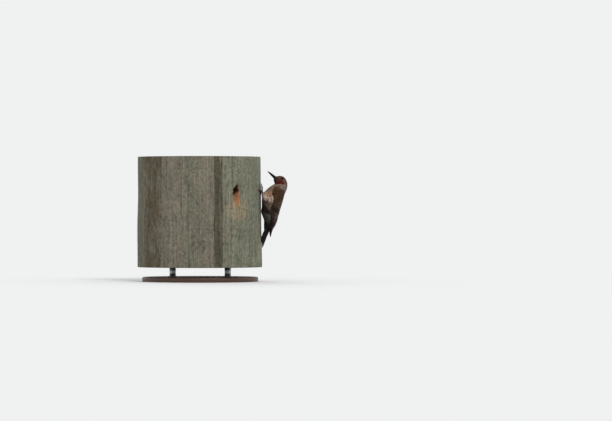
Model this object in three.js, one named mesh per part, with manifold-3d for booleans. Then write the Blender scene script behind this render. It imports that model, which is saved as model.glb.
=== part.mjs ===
// A male red-shafted northern flicker, a woodpecker, clinging to a short cut length of a wooden
// pole that stands on two rods and a flat round base.
//
// Millimetres, +Z up. The origin is the centre of the base's underside, on the pole's own axis.
// The bird hangs on the +X side of the pole: its belly faces -X, its left side faces -Y.

import * as THREE from "three";
import { LoftGeometry } from "three/addons/geometries/LoftGeometry.js";
import { mergeVertices } from "three/addons/utils/BufferGeometryUtils.js";
import Module from "manifold-3d";

const wasm = await Module();
wasm.setup();

// ---------------------------------------------------------------- driving dimensions

const GAP = 0.35; // clearance left between neighbouring pieces
const STEPS_ROUND_BODY = 28;

const STAND = { radius: 200, thickness: 16, chamfer: 3, rodRadius: 11, rodSpread: 95 };

const POLE = {
  bottom: 50, // height of the lower cut above the floor
  length: 380,
  bottomRadius: 213,
  topRadius: 208,
  sides: 72,
  check: { bearing: -67.6, width: 2.2, depth: 8 }, // the long drying crack
  peckHole: { bearing: -54, height: 296, halfWidth: 13.5, halfHeight: 36, depth: 30 },
};

const BIRD_BEARING = -4; // degrees round the pole from +X, towards the bird's left side
const BODY_TILT = 17; // degrees that the back leans away from the vertical

// Sections of trunk, neck and head, from the tail coverts up to the bill. Each has its front
// (belly, throat) and back (rump, crown) ends in the middle plane, as distance from the pole's
// axis and height, and its half width.
const BODY = [
  { front: [222.3, 181], back: [234, 178], half: 8 }, // ends of the tail coverts
  { front: [221.5, 196.6], back: [243.9, 190.4], half: 14.5 },
  { front: [220, 213.9], back: [250.8, 204.2], half: 20 },
  { front: [215, 227.4], back: [258.2, 219], half: 24.5 }, // vent
  { front: [211, 240.5], back: [264.6, 233.8], half: 28 },
  { front: [213.2, 260.5], back: [271.4, 249.7], half: 31 }, // belly
  { front: [213.2, 281.2], back: [278.9, 270], half: 33 },
  { front: [215.3, 296.7], back: [286.4, 286], half: 34 }, // breast and mantle
  { front: [221.8, 308.8], back: [292.6, 301.9], half: 33 },
  { front: [233.2, 320.1], back: [298, 314], half: 30 },
  { front: [245.3, 329.5], back: [300.5, 323.4], half: 26.5 },
  { front: [255.6, 336], back: [301.3, 333.8], half: 20 }, // neck
  { front: [256.4, 339.6], back: [300.6, 343], half: 15.7 },
  { front: [254.6, 343.3], back: [297.4, 352.2], half: 14.3 }, // cheeks
  { front: [253.6, 346.8], back: [291.3, 360.2], half: 13.5 },
  { front: [253.3, 350], back: [282.4, 364], half: 12.2 }, // eyes
  { front: [253.3, 352.6], back: [271.8, 364], half: 10.1 },
  { front: [253.9, 354.6], back: [262.9, 362.6], half: 7.4 }, // round the bill
];
const NECK_STARTS = 9; // row of BODY, counted from 0
const NECK_ENDS = 12;

// The head's own frame: forward along the bill, up through the crown, left towards the near side.
const HEAD = {
  centre: new THREE.Vector3(278, 0, 346),
  pitch: 38, // degrees that the bill points above the horizon
  yaw: 15, // turn of the bill towards the bird's left
  roll: 20, // tilt that lifts the left cheek
};

// Bill sections, in the head's frame: forward, ridge, cutting edge, underside, half width.
const BILL = [
  [24.9, 2.6, -3.0, -7.9, 4.6],
  [29, 2.7, -2.8, -7.3, 4.2],
  [34, 2.6, -2.5, -6.5, 3.7],
  [40, 2.2, -2.2, -5.6, 3.2],
  [46, 1.5, -1.9, -4.6, 2.6],
  [52, 0.4, -1.7, -3.5, 1.8],
  [57, -1.2, -1.8, -2.6, 0.6],
];
const EYE = { forward: 3.2, up: 5.4, side: 10.5, radius: 4.7 };

// Folded wing, from the shoulder down to the tip: the back line it follows (distance from the
// pole's axis, height), how deep and how half-wide the wing curves round the body, the angles
// round the body where it starts and ends (0 is the back, 90 the side), and its thickness.
const WING = [
  { back: [299.5, 322.5], deep: 36.5, half: 31.5, from: 74, to: 88, thick: 1.4 },
  { back: [296, 311], deep: 36.5, half: 35.4, from: 50, to: 97, thick: 3 },
  { back: [290.1, 295], deep: 35, half: 37.6, from: 36, to: 98, thick: 3.6 },
  { back: [285.6, 279.4], deep: 32.3, half: 38, from: 26, to: 88, thick: 3.8 },
  { back: [280.7, 262.2], deep: 30.6, half: 36.8, from: 17, to: 90, thick: 3.8 },
  { back: [275.2, 244.9], deep: 28.3, half: 34, from: 8, to: 95, thick: 3.5 },
  { back: [270.9, 226], deep: 24.8, half: 30, from: 4, to: 97, thick: 3.2 },
  { back: [266.8, 208.7], deep: 21, half: 25, from: 3, to: 96, thick: 2.9 },
  { back: [260.4, 192], deep: 16.7, half: 19.5, from: 3.5, to: 98, thick: 2.5 },
  { back: [253, 178.5], deep: 12.7, half: 14.5, from: 9, to: 98, thick: 2 },
  { back: [248.7, 165.8], deep: 8.9, half: 11, from: 14, to: 88, thick: 1.5 },
  { back: [245.1, 153], deep: 4.5, half: 8.5, from: 35, to: 70, thick: 0.8 },
];
const COVERTS_END = 5.4; // row of WING where the coverts end and the flight feathers begin

// Tail, from the root down to the tip: the ridge's distance from the pole's axis, height, half
// width, and how far the edges drop towards the pole.
const TAIL = [
  { ridge: 242, height: 190, half: 13, drop: 12 },
  { ridge: 240.5, height: 177, half: 17, drop: 18 },
  { ridge: 236, height: 165, half: 19.5, drop: 19.5 },
  { ridge: 230.9, height: 154.5, half: 20.5, drop: 17.4 },
  { ridge: 226.5, height: 143, half: 19.5, drop: 13.8 },
  { ridge: 222.1, height: 131, half: 16, drop: 9.4 },
  { ridge: 217.8, height: 121, half: 9, drop: 4.6 },
  { ridge: 214.8, height: 115.5, half: 2.5, drop: 0.8 },
];
const TAIL_THICKNESS = 2;

// Leg, for the left side; the right one is its mirror. Thigh and shank: distance from the pole's
// axis, sideways distance, height, radius.
const THIGH = [
  [241, 20, 273, 9],
  [234, 23, 280.5, 11.4],
  [226.5, 25.4, 290, 9.6],
  [221.5, 27, 297, 6.6],
  [219, 27.8, 300.5, 3.6],
];
const SHANK = [
  [223, 27.8, 295, 2.1],
  [217.5, 28.2, 303, 1.9],
  [213.4, 28.6, 309.2, 2.1],
];
// Toes lie on the wood: sideways distance round the pole, height, clearance, radius.
const FOOT = { side: 28.8, height: 311.5, clearance: 4.6, radius: 3 };
const TOES = {
  inner: [[26.3, 318, 5.1, 1.9], [23, 325.5, 4.4, 1.7], [20.8, 330.5, 2.7, 1.5]],
  middle: [[29.6, 319, 5.6, 2], [30.6, 327, 5.1, 1.8], [31.2, 333.5, 2.8, 1.5]],
  outer: [[34.5, 311.8, 5, 2.4], [41.5, 313.6, 4.6, 2.2], [47.5, 315, 2.9, 1.8]],
  hind: [[27.6, 305, 4.4, 1.8], [26.9, 300, 3.8, 1.6], [26.5, 296.6, 2.6, 1.4]],
};
const CLAW = { length: 7.6, arch: 1.5, baseRadius: 1.3, tipRadius: 0.3 };

// ---------------------------------------------------------------- helpers

const radians = THREE.MathUtils.degToRad;
const mix = THREE.MathUtils.lerp;

/** A closed three.js geometry as a manifold solid, turned outwards if it faces in. */
function solidOf(geometry) {
  const bare = new THREE.BufferGeometry().copy(geometry);
  bare.deleteAttribute("normal");
  bare.deleteAttribute("uv");
  const merged = mergeVertices(bare, 1e-4);
  const build = (index) =>
    new wasm.Manifold(
      new wasm.Mesh({
        numProp: 3,
        vertProperties: new Float32Array(merged.attributes.position.array),
        triVerts: new Uint32Array(index),
      }),
    );
  const index = Array.from(merged.index.array);
  const kept = [];
  for (let i = 0; i < index.length; i += 3) {
    const [a, b, c] = index.slice(i, i + 3);
    if (a !== b && b !== c && c !== a) kept.push([a, b, c]);
  }
  const made = build(kept.flat());
  return made.volume() < 0 ? build(kept.flatMap(([a, b, c]) => [a, c, b])) : made;
}

/** A manifold solid as a three.js geometry. Only its largest body is kept. */
function geometryOf(solid) {
  const bodies = solid.decompose().sort((a, b) => b.volume() - a.volume());
  const mesh = bodies[0].getMesh();
  const places = [];
  for (let i = 0; i < mesh.numVert; i++) {
    places.push(...mesh.vertProperties.slice(i * mesh.numProp, i * mesh.numProp + 3));
  }
  return new THREE.BufferGeometry()
    .setAttribute("position", new THREE.Float32BufferAttribute(places, 3))
    .setIndex(Array.from(mesh.triVerts));
}

/** A solid skinned through closed sections, with flat ends, whichever way round they run. */
function loft(sections) {
  const [first, second] = sections;
  const area = new THREE.Vector3();
  const travel = new THREE.Vector3();
  first.forEach((point, i) => {
    area.add(point.clone().sub(first[0]).cross(first[(i + 1) % first.length].clone().sub(first[0])));
    travel.add(second[i]).sub(point);
  });
  const ordered = area.dot(travel) < 0 ? sections.map((s) => s.slice().reverse()) : sections;
  return solidOf(new LoftGeometry(ordered, { capStart: true, capEnd: true }));
}

/** A smooth value between the rows of a table: Catmull-Rom through read(row). */
function smooth(rows, read, at) {
  const low = Math.min(Math.floor(at), rows.length - 2);
  const t = at - low;
  const value = (i) => {
    if (i < 0) return 2 * read(rows[0]) - read(rows[1]);
    const last = rows.length - 1;
    if (i > last) return 2 * read(rows[last]) - read(rows[last - 1]);
    return read(rows[i]);
  };
  const [a, b, c, d] = [value(low - 1), value(low), value(low + 1), value(low + 2)];
  const cubic = (3 * (b - c) + d - a) * t * t * t + (2 * a - 5 * b + 4 * c - d) * t * t;
  return 0.5 * (cubic + (c - a) * t) + b;
}

/** Evenly spaced numbers from low to high, both included. */
function steps(low, high, count) {
  return Array.from({ length: count + 1 }, (_, i) => mix(low, high, i / count));
}

/** The pole's radius at a height above the floor. */
function poleRadius(height) {
  const share = (height - POLE.bottom) / POLE.length;
  return mix(POLE.bottomRadius, POLE.topRadius, share);
}

/** The point at a sideways distance round the wood, a height and a clearance from it. */
function onPole(sideways, height, clearance) {
  const angle = sideways / poleRadius(height);
  const reach = poleRadius(height) + clearance;
  return new THREE.Vector3(reach * Math.cos(angle), reach * Math.sin(angle), height);
}

/** A round tube through [x, y, z, radius] rows, with grow added to every radius. */
function tube(rows, sides, count, grow = 0) {
  const at = (s) => new THREE.Vector3(...[0, 1, 2].map((k) => smooth(rows, (r) => r[k], s)));
  const sections = steps(0, rows.length - 1, count).map((s) => {
    const ahead = at(Math.min(s + 0.05, rows.length - 1));
    const along = ahead.sub(at(Math.max(s - 0.05, 0))).normalize();
    const across = new THREE.Vector3(0.31, 0.2, -0.93).cross(along).normalize();
    const other = along.clone().cross(across);
    const radius = smooth(rows, (r) => r[3], s) + grow;
    return steps(0, 2 * Math.PI, sides).slice(0, sides).map((a) =>
      at(s)
        .addScaledVector(across, radius * Math.cos(a))
        .addScaledVector(other, radius * Math.sin(a)),
    );
  });
  return loft(sections);
}

/** A three.js ball as a solid, at a point, with three radii. */
function ball(centre, radii, turn = new THREE.Quaternion()) {
  const geometry = new THREE.SphereGeometry(1, 16, 10);
  const scale = new THREE.Vector3(...radii);
  return solidOf(geometry.applyMatrix4(new THREE.Matrix4().compose(centre, turn, scale)));
}

// ---------------------------------------------------------------- trunk, neck and head

const headForward = new THREE.Vector3(
  -Math.cos(radians(HEAD.pitch)), 0, Math.sin(radians(HEAD.pitch)));
const headUp = new THREE.Vector3(
  Math.sin(radians(HEAD.pitch)), 0, Math.cos(radians(HEAD.pitch)));
const headLeft = new THREE.Vector3(0, -1, 0);
const headTurn = new THREE.Quaternion()
  .setFromAxisAngle(new THREE.Vector3(0, 0, 1), radians(HEAD.yaw))
  .multiply(new THREE.Quaternion().setFromAxisAngle(headForward, radians(HEAD.roll)));

/** Turns a point about the head's centre by a share of the head's whole turn. */
function turnedWithHead(point, share) {
  const turn = new THREE.Quaternion().slerp(headTurn, share);
  return point.sub(HEAD.centre).applyQuaternion(turn).add(HEAD.centre);
}

/** A point given in the head's own frame. */
function inHead(forward, up, left) {
  const point = HEAD.centre
    .clone()
    .addScaledVector(headForward, forward)
    .addScaledVector(headUp, up)
    .addScaledVector(headLeft, left);
  return turnedWithHead(point, 1);
}

/** One closed section of the body at a row, grown outwards by a margin. */
function bodySection(row, grow) {
  const read = (name, k) => smooth(BODY, (r) => r[name][k], row);
  const front = new THREE.Vector3(read("front", 0), 0, read("front", 1));
  const back = new THREE.Vector3(read("back", 0), 0, read("back", 1));
  const half = smooth(BODY, (r) => r.half, row) + grow;
  const centre = front.clone().add(back).multiplyScalar(0.5);
  const outward = back.clone().sub(front).normalize();
  const deep = back.distanceTo(front) / 2 + grow;
  const share = THREE.MathUtils.smoothstep(row, NECK_STARTS - 0.5, NECK_ENDS + 0.5);
  return steps(0, 2 * Math.PI, STEPS_ROUND_BODY).slice(0, STEPS_ROUND_BODY).map((angle) => {
    const point = centre.clone().addScaledVector(outward, deep * Math.cos(angle));
    point.y = half * Math.sin(angle);
    return turnedWithHead(point, share);
  });
}

/** The body between two rows as one solid. */
function bodyLength(from, to, count, grow = 0) {
  return loft(steps(from, to, count).map((row) => bodySection(row, grow)));
}

function eyeBall(side, radius) {
  return ball(inHead(EYE.forward, EYE.up, side * EYE.side), [radius, radius, radius]);
}

/** Half of the bill: the ring runs over the upper or the lower half of each section. */
function billHalf(upper) {
  const rows = BILL.map((r) => r);
  const sections = steps(0, rows.length - 1, 8).map((at) => {
    const [forward, ridge, cut, under, half] = [0, 1, 2, 3, 4].map((k) =>
      smooth(rows, (r) => r[k], at));
    const outer = upper ? ridge : under;
    const seam = cut + (upper ? 0.5 : -0.5) * GAP;
    const arch = steps(0, Math.PI, 6).map((a) =>
      inHead(forward, mix(seam, outer, Math.sin(a) ** 0.8), half * Math.cos(a)));
    return [...arch, inHead(forward, seam, -half * 0.4), inHead(forward, seam, half * 0.4)];
  });
  return loft(sections);
}

// ---------------------------------------------------------------- wings and tail

/** One closed section of a folded wing: out along its face, back along its inside. */
function wingSection(row, side) {
  const read = (name) => smooth(WING, (r) => r[name], row);
  const back = new THREE.Vector3(
    smooth(WING, (r) => r.back[0], row), 0, smooth(WING, (r) => r.back[1], row));
  const tilt = radians(BODY_TILT);
  const outward = new THREE.Vector3(Math.cos(tilt), 0, -Math.sin(tilt));
  const [from, to] = [radians(read("from")), radians(read("to"))];
  const [deep, half, thick] = [read("deep"), read("half"), read("thick")];
  const point = (share, inset) => {
    const angle = mix(from, to, share);
    const place = back
      .clone()
      .addScaledVector(outward, -deep * (1 - Math.cos(angle)) - inset * Math.cos(angle));
    place.y = side * (half - inset) * Math.sin(angle);
    return place;
  };
  const face = steps(0, 1, 7).map((share) => point(share, 0));
  const inside = steps(1, 0, 7).map((share) =>
    point(share, 0.6 + (thick - 0.6) * Math.sin(Math.PI * share) ** 0.5));
  return [...face, ...inside];
}

function wingLength(from, to, count, side) {
  return loft(steps(from, to, count).map((row) => wingSection(row, side)));
}

/** The closed tail: a shallow roof of feathers whose edges drop towards the wood. */
function tailFan() {
  const sections = steps(0, TAIL.length - 1, 10).map((row) => {
    const read = (name) => smooth(TAIL, (r) => r[name], row);
    const [ridge, height, half, drop] = ["ridge", "height", "half", "drop"].map(read);
    const point = (share, inset) =>
      new THREE.Vector3(
        ridge - drop * Math.abs(share) ** 1.4 - inset, half * share, height);
    const face = steps(-1, 1, 8).map((share) => point(share, 0));
    const under = steps(1, -1, 8).map((share) =>
      point(share * 0.99, 0.6 + (TAIL_THICKNESS - 0.6) * (1 - share * share)));
    return [...face, ...under];
  });
  return loft(sections);
}

// ---------------------------------------------------------------- legs

const sided = (rows, side) => rows.map(([x, y, z, r]) => [x, side * y, z, r]);

/** The rows of one toe, from the middle of the foot to its claw. */
function toeRows(name, side) {
  const start = [FOOT.side, FOOT.height, FOOT.clearance, 2.4];
  return [start, ...TOES[name]].map(([sideways, height, clearance, radius]) => [
    ...onPole(side * sideways, height, clearance).toArray(), radius]);
}

/** All four toes and the ball of the foot as one solid. */
function foot(side, grow = 0) {
  const centre = onPole(side * FOOT.side, FOOT.height, FOOT.clearance);
  const radius = FOOT.radius + grow;
  return Object.keys(TOES).reduce(
    (whole, name) => whole.add(tube(toeRows(name, side), 8, 5, grow)),
    ball(centre, [radius, radius, radius]),
  );
}

/** A claw that arches on from its toe and down into the wood. */
function claw(name, side) {
  const rows = TOES[name];
  const [before, end] = rows.slice(-2);
  const run = Math.hypot(end[0] - before[0], end[1] - before[1]);
  const [acrossStep, upStep] = [(end[0] - before[0]) / run, (end[1] - before[1]) / run];
  return tube(steps(0, 1, 4).map((share) => {
    const reach = 0.2 + CLAW.length * share;
    const clearance = mix(end[2], 0.5, share ** 1.6) + CLAW.arch * Math.sin(Math.PI * share);
    const place = onPole(
      side * (end[0] + acrossStep * reach), end[1] + upStep * reach, clearance);
    return [...place.toArray(), mix(CLAW.baseRadius, CLAW.tipRadius, share)];
  }), 6, 5);
}

// ---------------------------------------------------------------- pole and stand

/** The point on the pole's axis side of a bearing, as a turn about Z. */
const bearing = (degrees) =>
  new THREE.Quaternion().setFromAxisAngle(new THREE.Vector3(0, 0, 1), radians(degrees));

/** The plain tapered round of the pole, with grow added to its radius. */
function poleRound(grow = 0) {
  const top = POLE.bottom + POLE.length;
  const profile = [
    [0, POLE.bottom - grow], [POLE.bottomRadius + grow, POLE.bottom - grow],
    [POLE.topRadius + grow, top + grow], [0, top + grow],
  ].map(([r, z]) => new THREE.Vector2(r, z));
  const geometry = new THREE.LatheGeometry(profile, POLE.sides).rotateX(Math.PI / 2);
  return solidOf(geometry);
}

/** The pole with its long drying crack and the hole that the bird has pecked. */
function pole() {
  const { check, peckHole } = POLE;
  const wedge = new THREE.Shape([
    new THREE.Vector2(POLE.bottomRadius - check.depth, 0),
    new THREE.Vector2(POLE.bottomRadius + 5, -check.width),
    new THREE.Vector2(POLE.bottomRadius + 5, check.width),
  ]);
  const crack = new THREE.ExtrudeGeometry(wedge, {
    depth: POLE.length + 20, bevelEnabled: false });
  crack.translate(0, 0, POLE.bottom - 10).rotateZ(radians(check.bearing));
  const turn = bearing(peckHole.bearing);
  const centre = new THREE.Vector3(poleRadius(peckHole.height), 0, peckHole.height);
  const hole = ball(
    centre.applyQuaternion(turn),
    [peckHole.depth, peckHole.halfWidth, peckHole.halfHeight],
    turn,
  );
  return poleRound().subtract(solidOf(crack)).subtract(hole);
}

function standBase() {
  const { radius, thickness, chamfer } = STAND;
  const profile = [
    [0, 0], [radius, 0], [radius, thickness - chamfer],
    [radius - chamfer, thickness], [0, thickness],
  ].map(([r, z]) => new THREE.Vector2(r, z));
  return solidOf(new THREE.LatheGeometry(profile, 60).rotateX(Math.PI / 2));
}

function standRod(side) {
  const length = POLE.bottom - STAND.thickness - 2 * GAP;
  const rod = new THREE.CylinderGeometry(STAND.rodRadius, STAND.rodRadius, length, 24);
  rod.rotateX(Math.PI / 2).translate(side * STAND.rodSpread, 0, STAND.thickness + GAP + length / 2);
  return solidOf(rod);
}

// ---------------------------------------------------------------- the whole part

const COLOURS = {
  plumage: 0x5c4a3c,
  head: 0x7b6a60,
  wing: 0x4b3d32,
  tail: 0x221f1c,
  bill: 0x24241f,
  eye: 0x1a0f0a,
  leg: 0x81827a,
  claw: 0x33322c,
  wood: 0x6f6a5d,
  base: 0x2b2622,
  rod: 0x8a8c8e,
};

const part = new THREE.Group();
const bird = new THREE.Group();
bird.rotation.z = radians(BIRD_BEARING);
part.add(bird);

/** Adds one solid to a group as a named mesh. */
function piece(group, name, solid, colour, roughness = 0.8, metalness = 0) {
  const material = new THREE.MeshStandardMaterial({ color: colour, roughness, metalness });
  const mesh = new THREE.Mesh(geometryOf(solid), material);
  mesh.name = name;
  group.add(mesh);
}

const LAST = BODY.length - 1;
const CUT = 0.1; // share of a row left open at each cut of the body
const wholeBody = bodyLength(0, LAST, 30, GAP);
const poleSpace = poleRound(GAP);
const sides = { left: -1, right: 1 };

piece(bird, "trunk", bodyLength(0, NECK_STARTS, 17).subtract(poleSpace), COLOURS.plumage);
piece(bird, "neck", bodyLength(NECK_STARTS + CUT, NECK_ENDS, 6), COLOURS.head);
const sockets = eyeBall(1, EYE.radius + GAP).add(eyeBall(-1, EYE.radius + GAP));
piece(bird, "head", bodyLength(NECK_ENDS + CUT, LAST, 10).subtract(sockets), COLOURS.head);
piece(bird, "bill_upper", billHalf(true), COLOURS.bill, 0.4);
piece(bird, "bill_lower", billHalf(false), COLOURS.bill, 0.4);

const tailSpace = tailFan();
piece(bird, "tail", tailSpace.subtract(wholeBody).subtract(poleSpace), COLOURS.tail);

for (const [name, side] of Object.entries(sides)) {
  const [coverts, flight] = [
    wingLength(0, COVERTS_END, 10, side), wingLength(COVERTS_END + 0.03, 11, 9, side)];
  piece(bird, `eye_${name}`, eyeBall(-side, EYE.radius), COLOURS.eye, 0.15);
  piece(bird, `wing_${name}_coverts`, coverts.subtract(wholeBody), COLOURS.wing);
  piece(bird, `wing_${name}_flight`, flight.subtract(wholeBody), COLOURS.wing);

  const [thigh, thighSpace] = [0, GAP].map((grow) => tube(sided(THIGH, side), 14, 7, grow));
  piece(bird, `thigh_${name}`, thigh.subtract(wholeBody), COLOURS.plumage);
  const footSpace = foot(side, GAP);
  const shank = tube(sided(SHANK, side), 8, 4);
  piece(
    bird, `shank_${name}`,
    shank.subtract(thighSpace).subtract(wholeBody).subtract(footSpace),
    COLOURS.leg, 0.6,
  );
  piece(bird, `foot_${name}`, foot(side).subtract(poleSpace), COLOURS.leg, 0.6);
  for (const toe of Object.keys(TOES)) {
    piece(
      bird, `claw_${name}_${toe}`,
      claw(toe, side).subtract(footSpace).subtract(poleSpace),
      COLOURS.claw, 0.35,
    );
  }
}

piece(part, "perch_pole", pole(), COLOURS.wood, 0.95);
piece(part, "stand_base", standBase(), COLOURS.base, 0.45);
piece(part, "stand_rod_1", standRod(-1), COLOURS.rod, 0.3, 1);
piece(part, "stand_rod_2", standRod(1), COLOURS.rod, 0.3, 1);

export default part;
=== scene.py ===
import logging
import math
from dataclasses import dataclass, field
from enum import Enum
from typing import Any, Callable, Dict, List, Optional, Sequence, Tuple, Union

import bpy
import numpy as np
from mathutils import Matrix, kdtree


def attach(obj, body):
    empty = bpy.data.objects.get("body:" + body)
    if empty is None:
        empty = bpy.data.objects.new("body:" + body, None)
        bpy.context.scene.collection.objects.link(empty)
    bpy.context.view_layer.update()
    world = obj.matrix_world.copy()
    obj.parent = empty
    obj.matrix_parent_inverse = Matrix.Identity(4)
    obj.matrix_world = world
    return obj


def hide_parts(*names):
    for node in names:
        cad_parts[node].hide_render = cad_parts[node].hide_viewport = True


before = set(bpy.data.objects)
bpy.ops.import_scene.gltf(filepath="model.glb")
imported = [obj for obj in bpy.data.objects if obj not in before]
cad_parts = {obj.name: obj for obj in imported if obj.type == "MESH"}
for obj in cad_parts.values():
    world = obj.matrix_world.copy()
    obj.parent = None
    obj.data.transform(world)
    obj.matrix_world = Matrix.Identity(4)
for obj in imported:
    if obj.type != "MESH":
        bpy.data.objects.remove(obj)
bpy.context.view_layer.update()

LOG = logging.getLogger("flicker")

Array = np.ndarray
Colour = Tuple[float, float, float]
Span = Tuple[float, float]
Pair = Tuple[Array, Array]
Values = Tuple[float, ...]
Table = Tuple[Values, ...]
Number = Union[float, "Signal"]
Mesh = Tuple[Array, List[Array]]  # points in mm, and arrays of quads or triangles
Piece = bpy.types.Object
Look = bpy.types.Material
Chance = np.random.Generator
MM = 0.001
TURN = 2 * math.pi
PATCH = 0.003  # size of a small feather on the bake map


# -------- numbers

def srgb(red: float, green: float, blue: float) -> Colour:
    """Turns a display colour, 0 to 255, into the linear colour that shaders take."""
    def linear(value: float) -> float:
        """One channel: the display curve undone."""
        share = value / 255
        return share / 12.92 if share <= 0.04045 else ((share + 0.055) / 1.055) ** 2.4
    return linear(red), linear(green), linear(blue)


def ease(low: float, high: float, value: Array) -> Array:
    """A smooth step that climbs from 0 at low to 1 at high."""
    share = np.clip((np.asarray(value) - low) / (high - low), 0, 1)
    return share * share * (3 - 2 * share)


def unit(vectors: Array) -> Array:
    """Vectors divided by their own lengths."""
    return vectors / np.maximum(np.linalg.norm(vectors, axis=-1, keepdims=True), 1e-9)


def read_table(table: Union[Table, Array], row: Array) -> Array:
    """Reads a table between its rows with a Catmull-Rom curve.

    Args:
        table: Rows of numbers, one column for each quantity.
        row: Where to read, counted in rows; the ends run on in a straight line.

    Returns:
        One set of columns for each place in row.
    """
    table = np.asarray(table, float)
    rows = np.vstack([2 * table[0] - table[1], table, 2 * table[-1] - table[-2]])
    row = np.asarray(row, float)
    low = np.clip(np.floor(row).astype(int), 0, len(table) - 2)
    t = np.clip(row - low, -0.6, 1.6)[..., None]
    a, b, c, d = rows[low], rows[low + 1], rows[low + 2], rows[low + 3]
    return b + 0.5 * t * ((c - a) + t * ((2 * a - 5 * b + 4 * c - d) + t * (3 * (b - c) + d - a)))


def turned(points: Array, axis: Sequence[float], degrees: Array) -> Array:
    """Turns vectors about an axis through the origin by the right-hand rule.

    Args:
        points: Vectors to turn.
        axis: Direction of the axis.
        degrees: One angle, or one for each vector.

    Returns:
        The turned vectors.
    """
    axis = unit(np.asarray(axis, float))
    angle = np.radians(np.asarray(degrees, float))[..., None]
    along = (points @ axis)[..., None] * axis
    return points * np.cos(angle) + np.cross(axis, points) * np.sin(angle) + along * (1 - np.cos(angle))


def round_steps(count: int) -> Array:
    """Equal steps once round, from 0 to just short of a whole turn."""
    return np.linspace(0, TURN, count, endpoint=False)


def grid(rows: Array, columns: Array) -> Sequence[Array]:
    """Two ranges of parameters as a grid, row by row."""
    return np.meshgrid(rows, columns, indexing="ij")


def packed(fine: Array, density: Array, shares: Array) -> Array:
    """Places spread by density: where its running total comes to each share of the whole."""
    total = np.cumsum(density)
    return np.interp(shares, (total - total[0]) / (total[-1] - total[0]), fine)


def away(bearing: Array, other: float) -> Array:
    """Degrees from another bearing, -180 to 180."""
    return (bearing - other + 180) % 360 - 180


def lattice_noise(around: Array, along: Array, cells: Tuple[int, int], seed: int) -> Array:
    """Smooth noise from -1 to 1: random heights on a lattice, eased from node to node.

    Args:
        around: Place round the shape, 0 to 1, where 1 meets 0 again.
        along: Place along the shape, 0 to 1.
        cells: How many lattice cells there are around and along.
        seed: Which noise.

    Returns:
        One height for each place.
    """
    heights = np.random.default_rng(seed).uniform(-1, 1, (cells[0], cells[1] + 2))
    x, y = np.asarray(around) % 1 * cells[0], np.clip(along, 0, 1) * cells[1]
    i, j = np.floor(x).astype(int), np.floor(y).astype(int)
    fx, fy = ease(0, 1, x - i), ease(0, 1, y - j)
    i, right = i % cells[0], (i + 1) % cells[0]
    near = heights[i, j] * (1 - fx) + heights[right, j] * fx
    far = heights[i, j + 1] * (1 - fx) + heights[right, j + 1] * fx
    return near * (1 - fy) + far * fy


# -------- shader arithmetic

def operator(name: str, swapped: bool = False) -> Callable[["Signal", Number], "Signal"]:
    """Makes one operator of Signal.

    Args:
        name: The Math node's operation.
        swapped: True where the signal comes second, as in 1 - mask.

    Returns:
        The operator.
    """
    def apply(self: "Signal", other: Number) -> "Signal":
        """Adds the Math node."""
        return self.math(name, other, self) if swapped else self.math(name, self, other)
    return apply


class Signal:
    """One shader value. Arithmetic on it adds Math nodes to its recipe."""

    def __init__(self, recipe: "Recipe", socket: bpy.types.NodeSocket) -> None:
        """Wraps an output socket."""
        self.recipe = recipe
        self.socket = socket

    def math(self, operation: str, *values: Number) -> "Signal":
        """Adds one Math node."""
        return self.recipe.node("ShaderNodeMath", {"operation": operation}, dict(enumerate(values)))

    __add__ = __radd__ = operator("ADD")
    __sub__ = operator("SUBTRACT")
    __rsub__ = operator("SUBTRACT", swapped=True)
    __mul__ = __rmul__ = operator("MULTIPLY")
    __truediv__ = operator("DIVIDE")
    __pow__ = operator("POWER")
    highest = operator("MAXIMUM")
    bearing = operator("ARCTAN2")  # the angle of a place from its two axes, in radians

    def __abs__(self) -> "Signal":
        """The value without its sign."""
        return self.math("ABSOLUTE", self)

    def sine(self) -> "Signal":
        """The sine of the value, in radians."""
        return self.math("SINE", self)

    def step(self, low: float, high: float) -> "Signal":
        """A smooth step from 0 at low to 1 at high."""
        return self.recipe.node(
            "ShaderNodeMapRange", {"interpolation_type": "SMOOTHSTEP"},
            {"Value": self, "From Min": low, "From Max": high})


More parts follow.
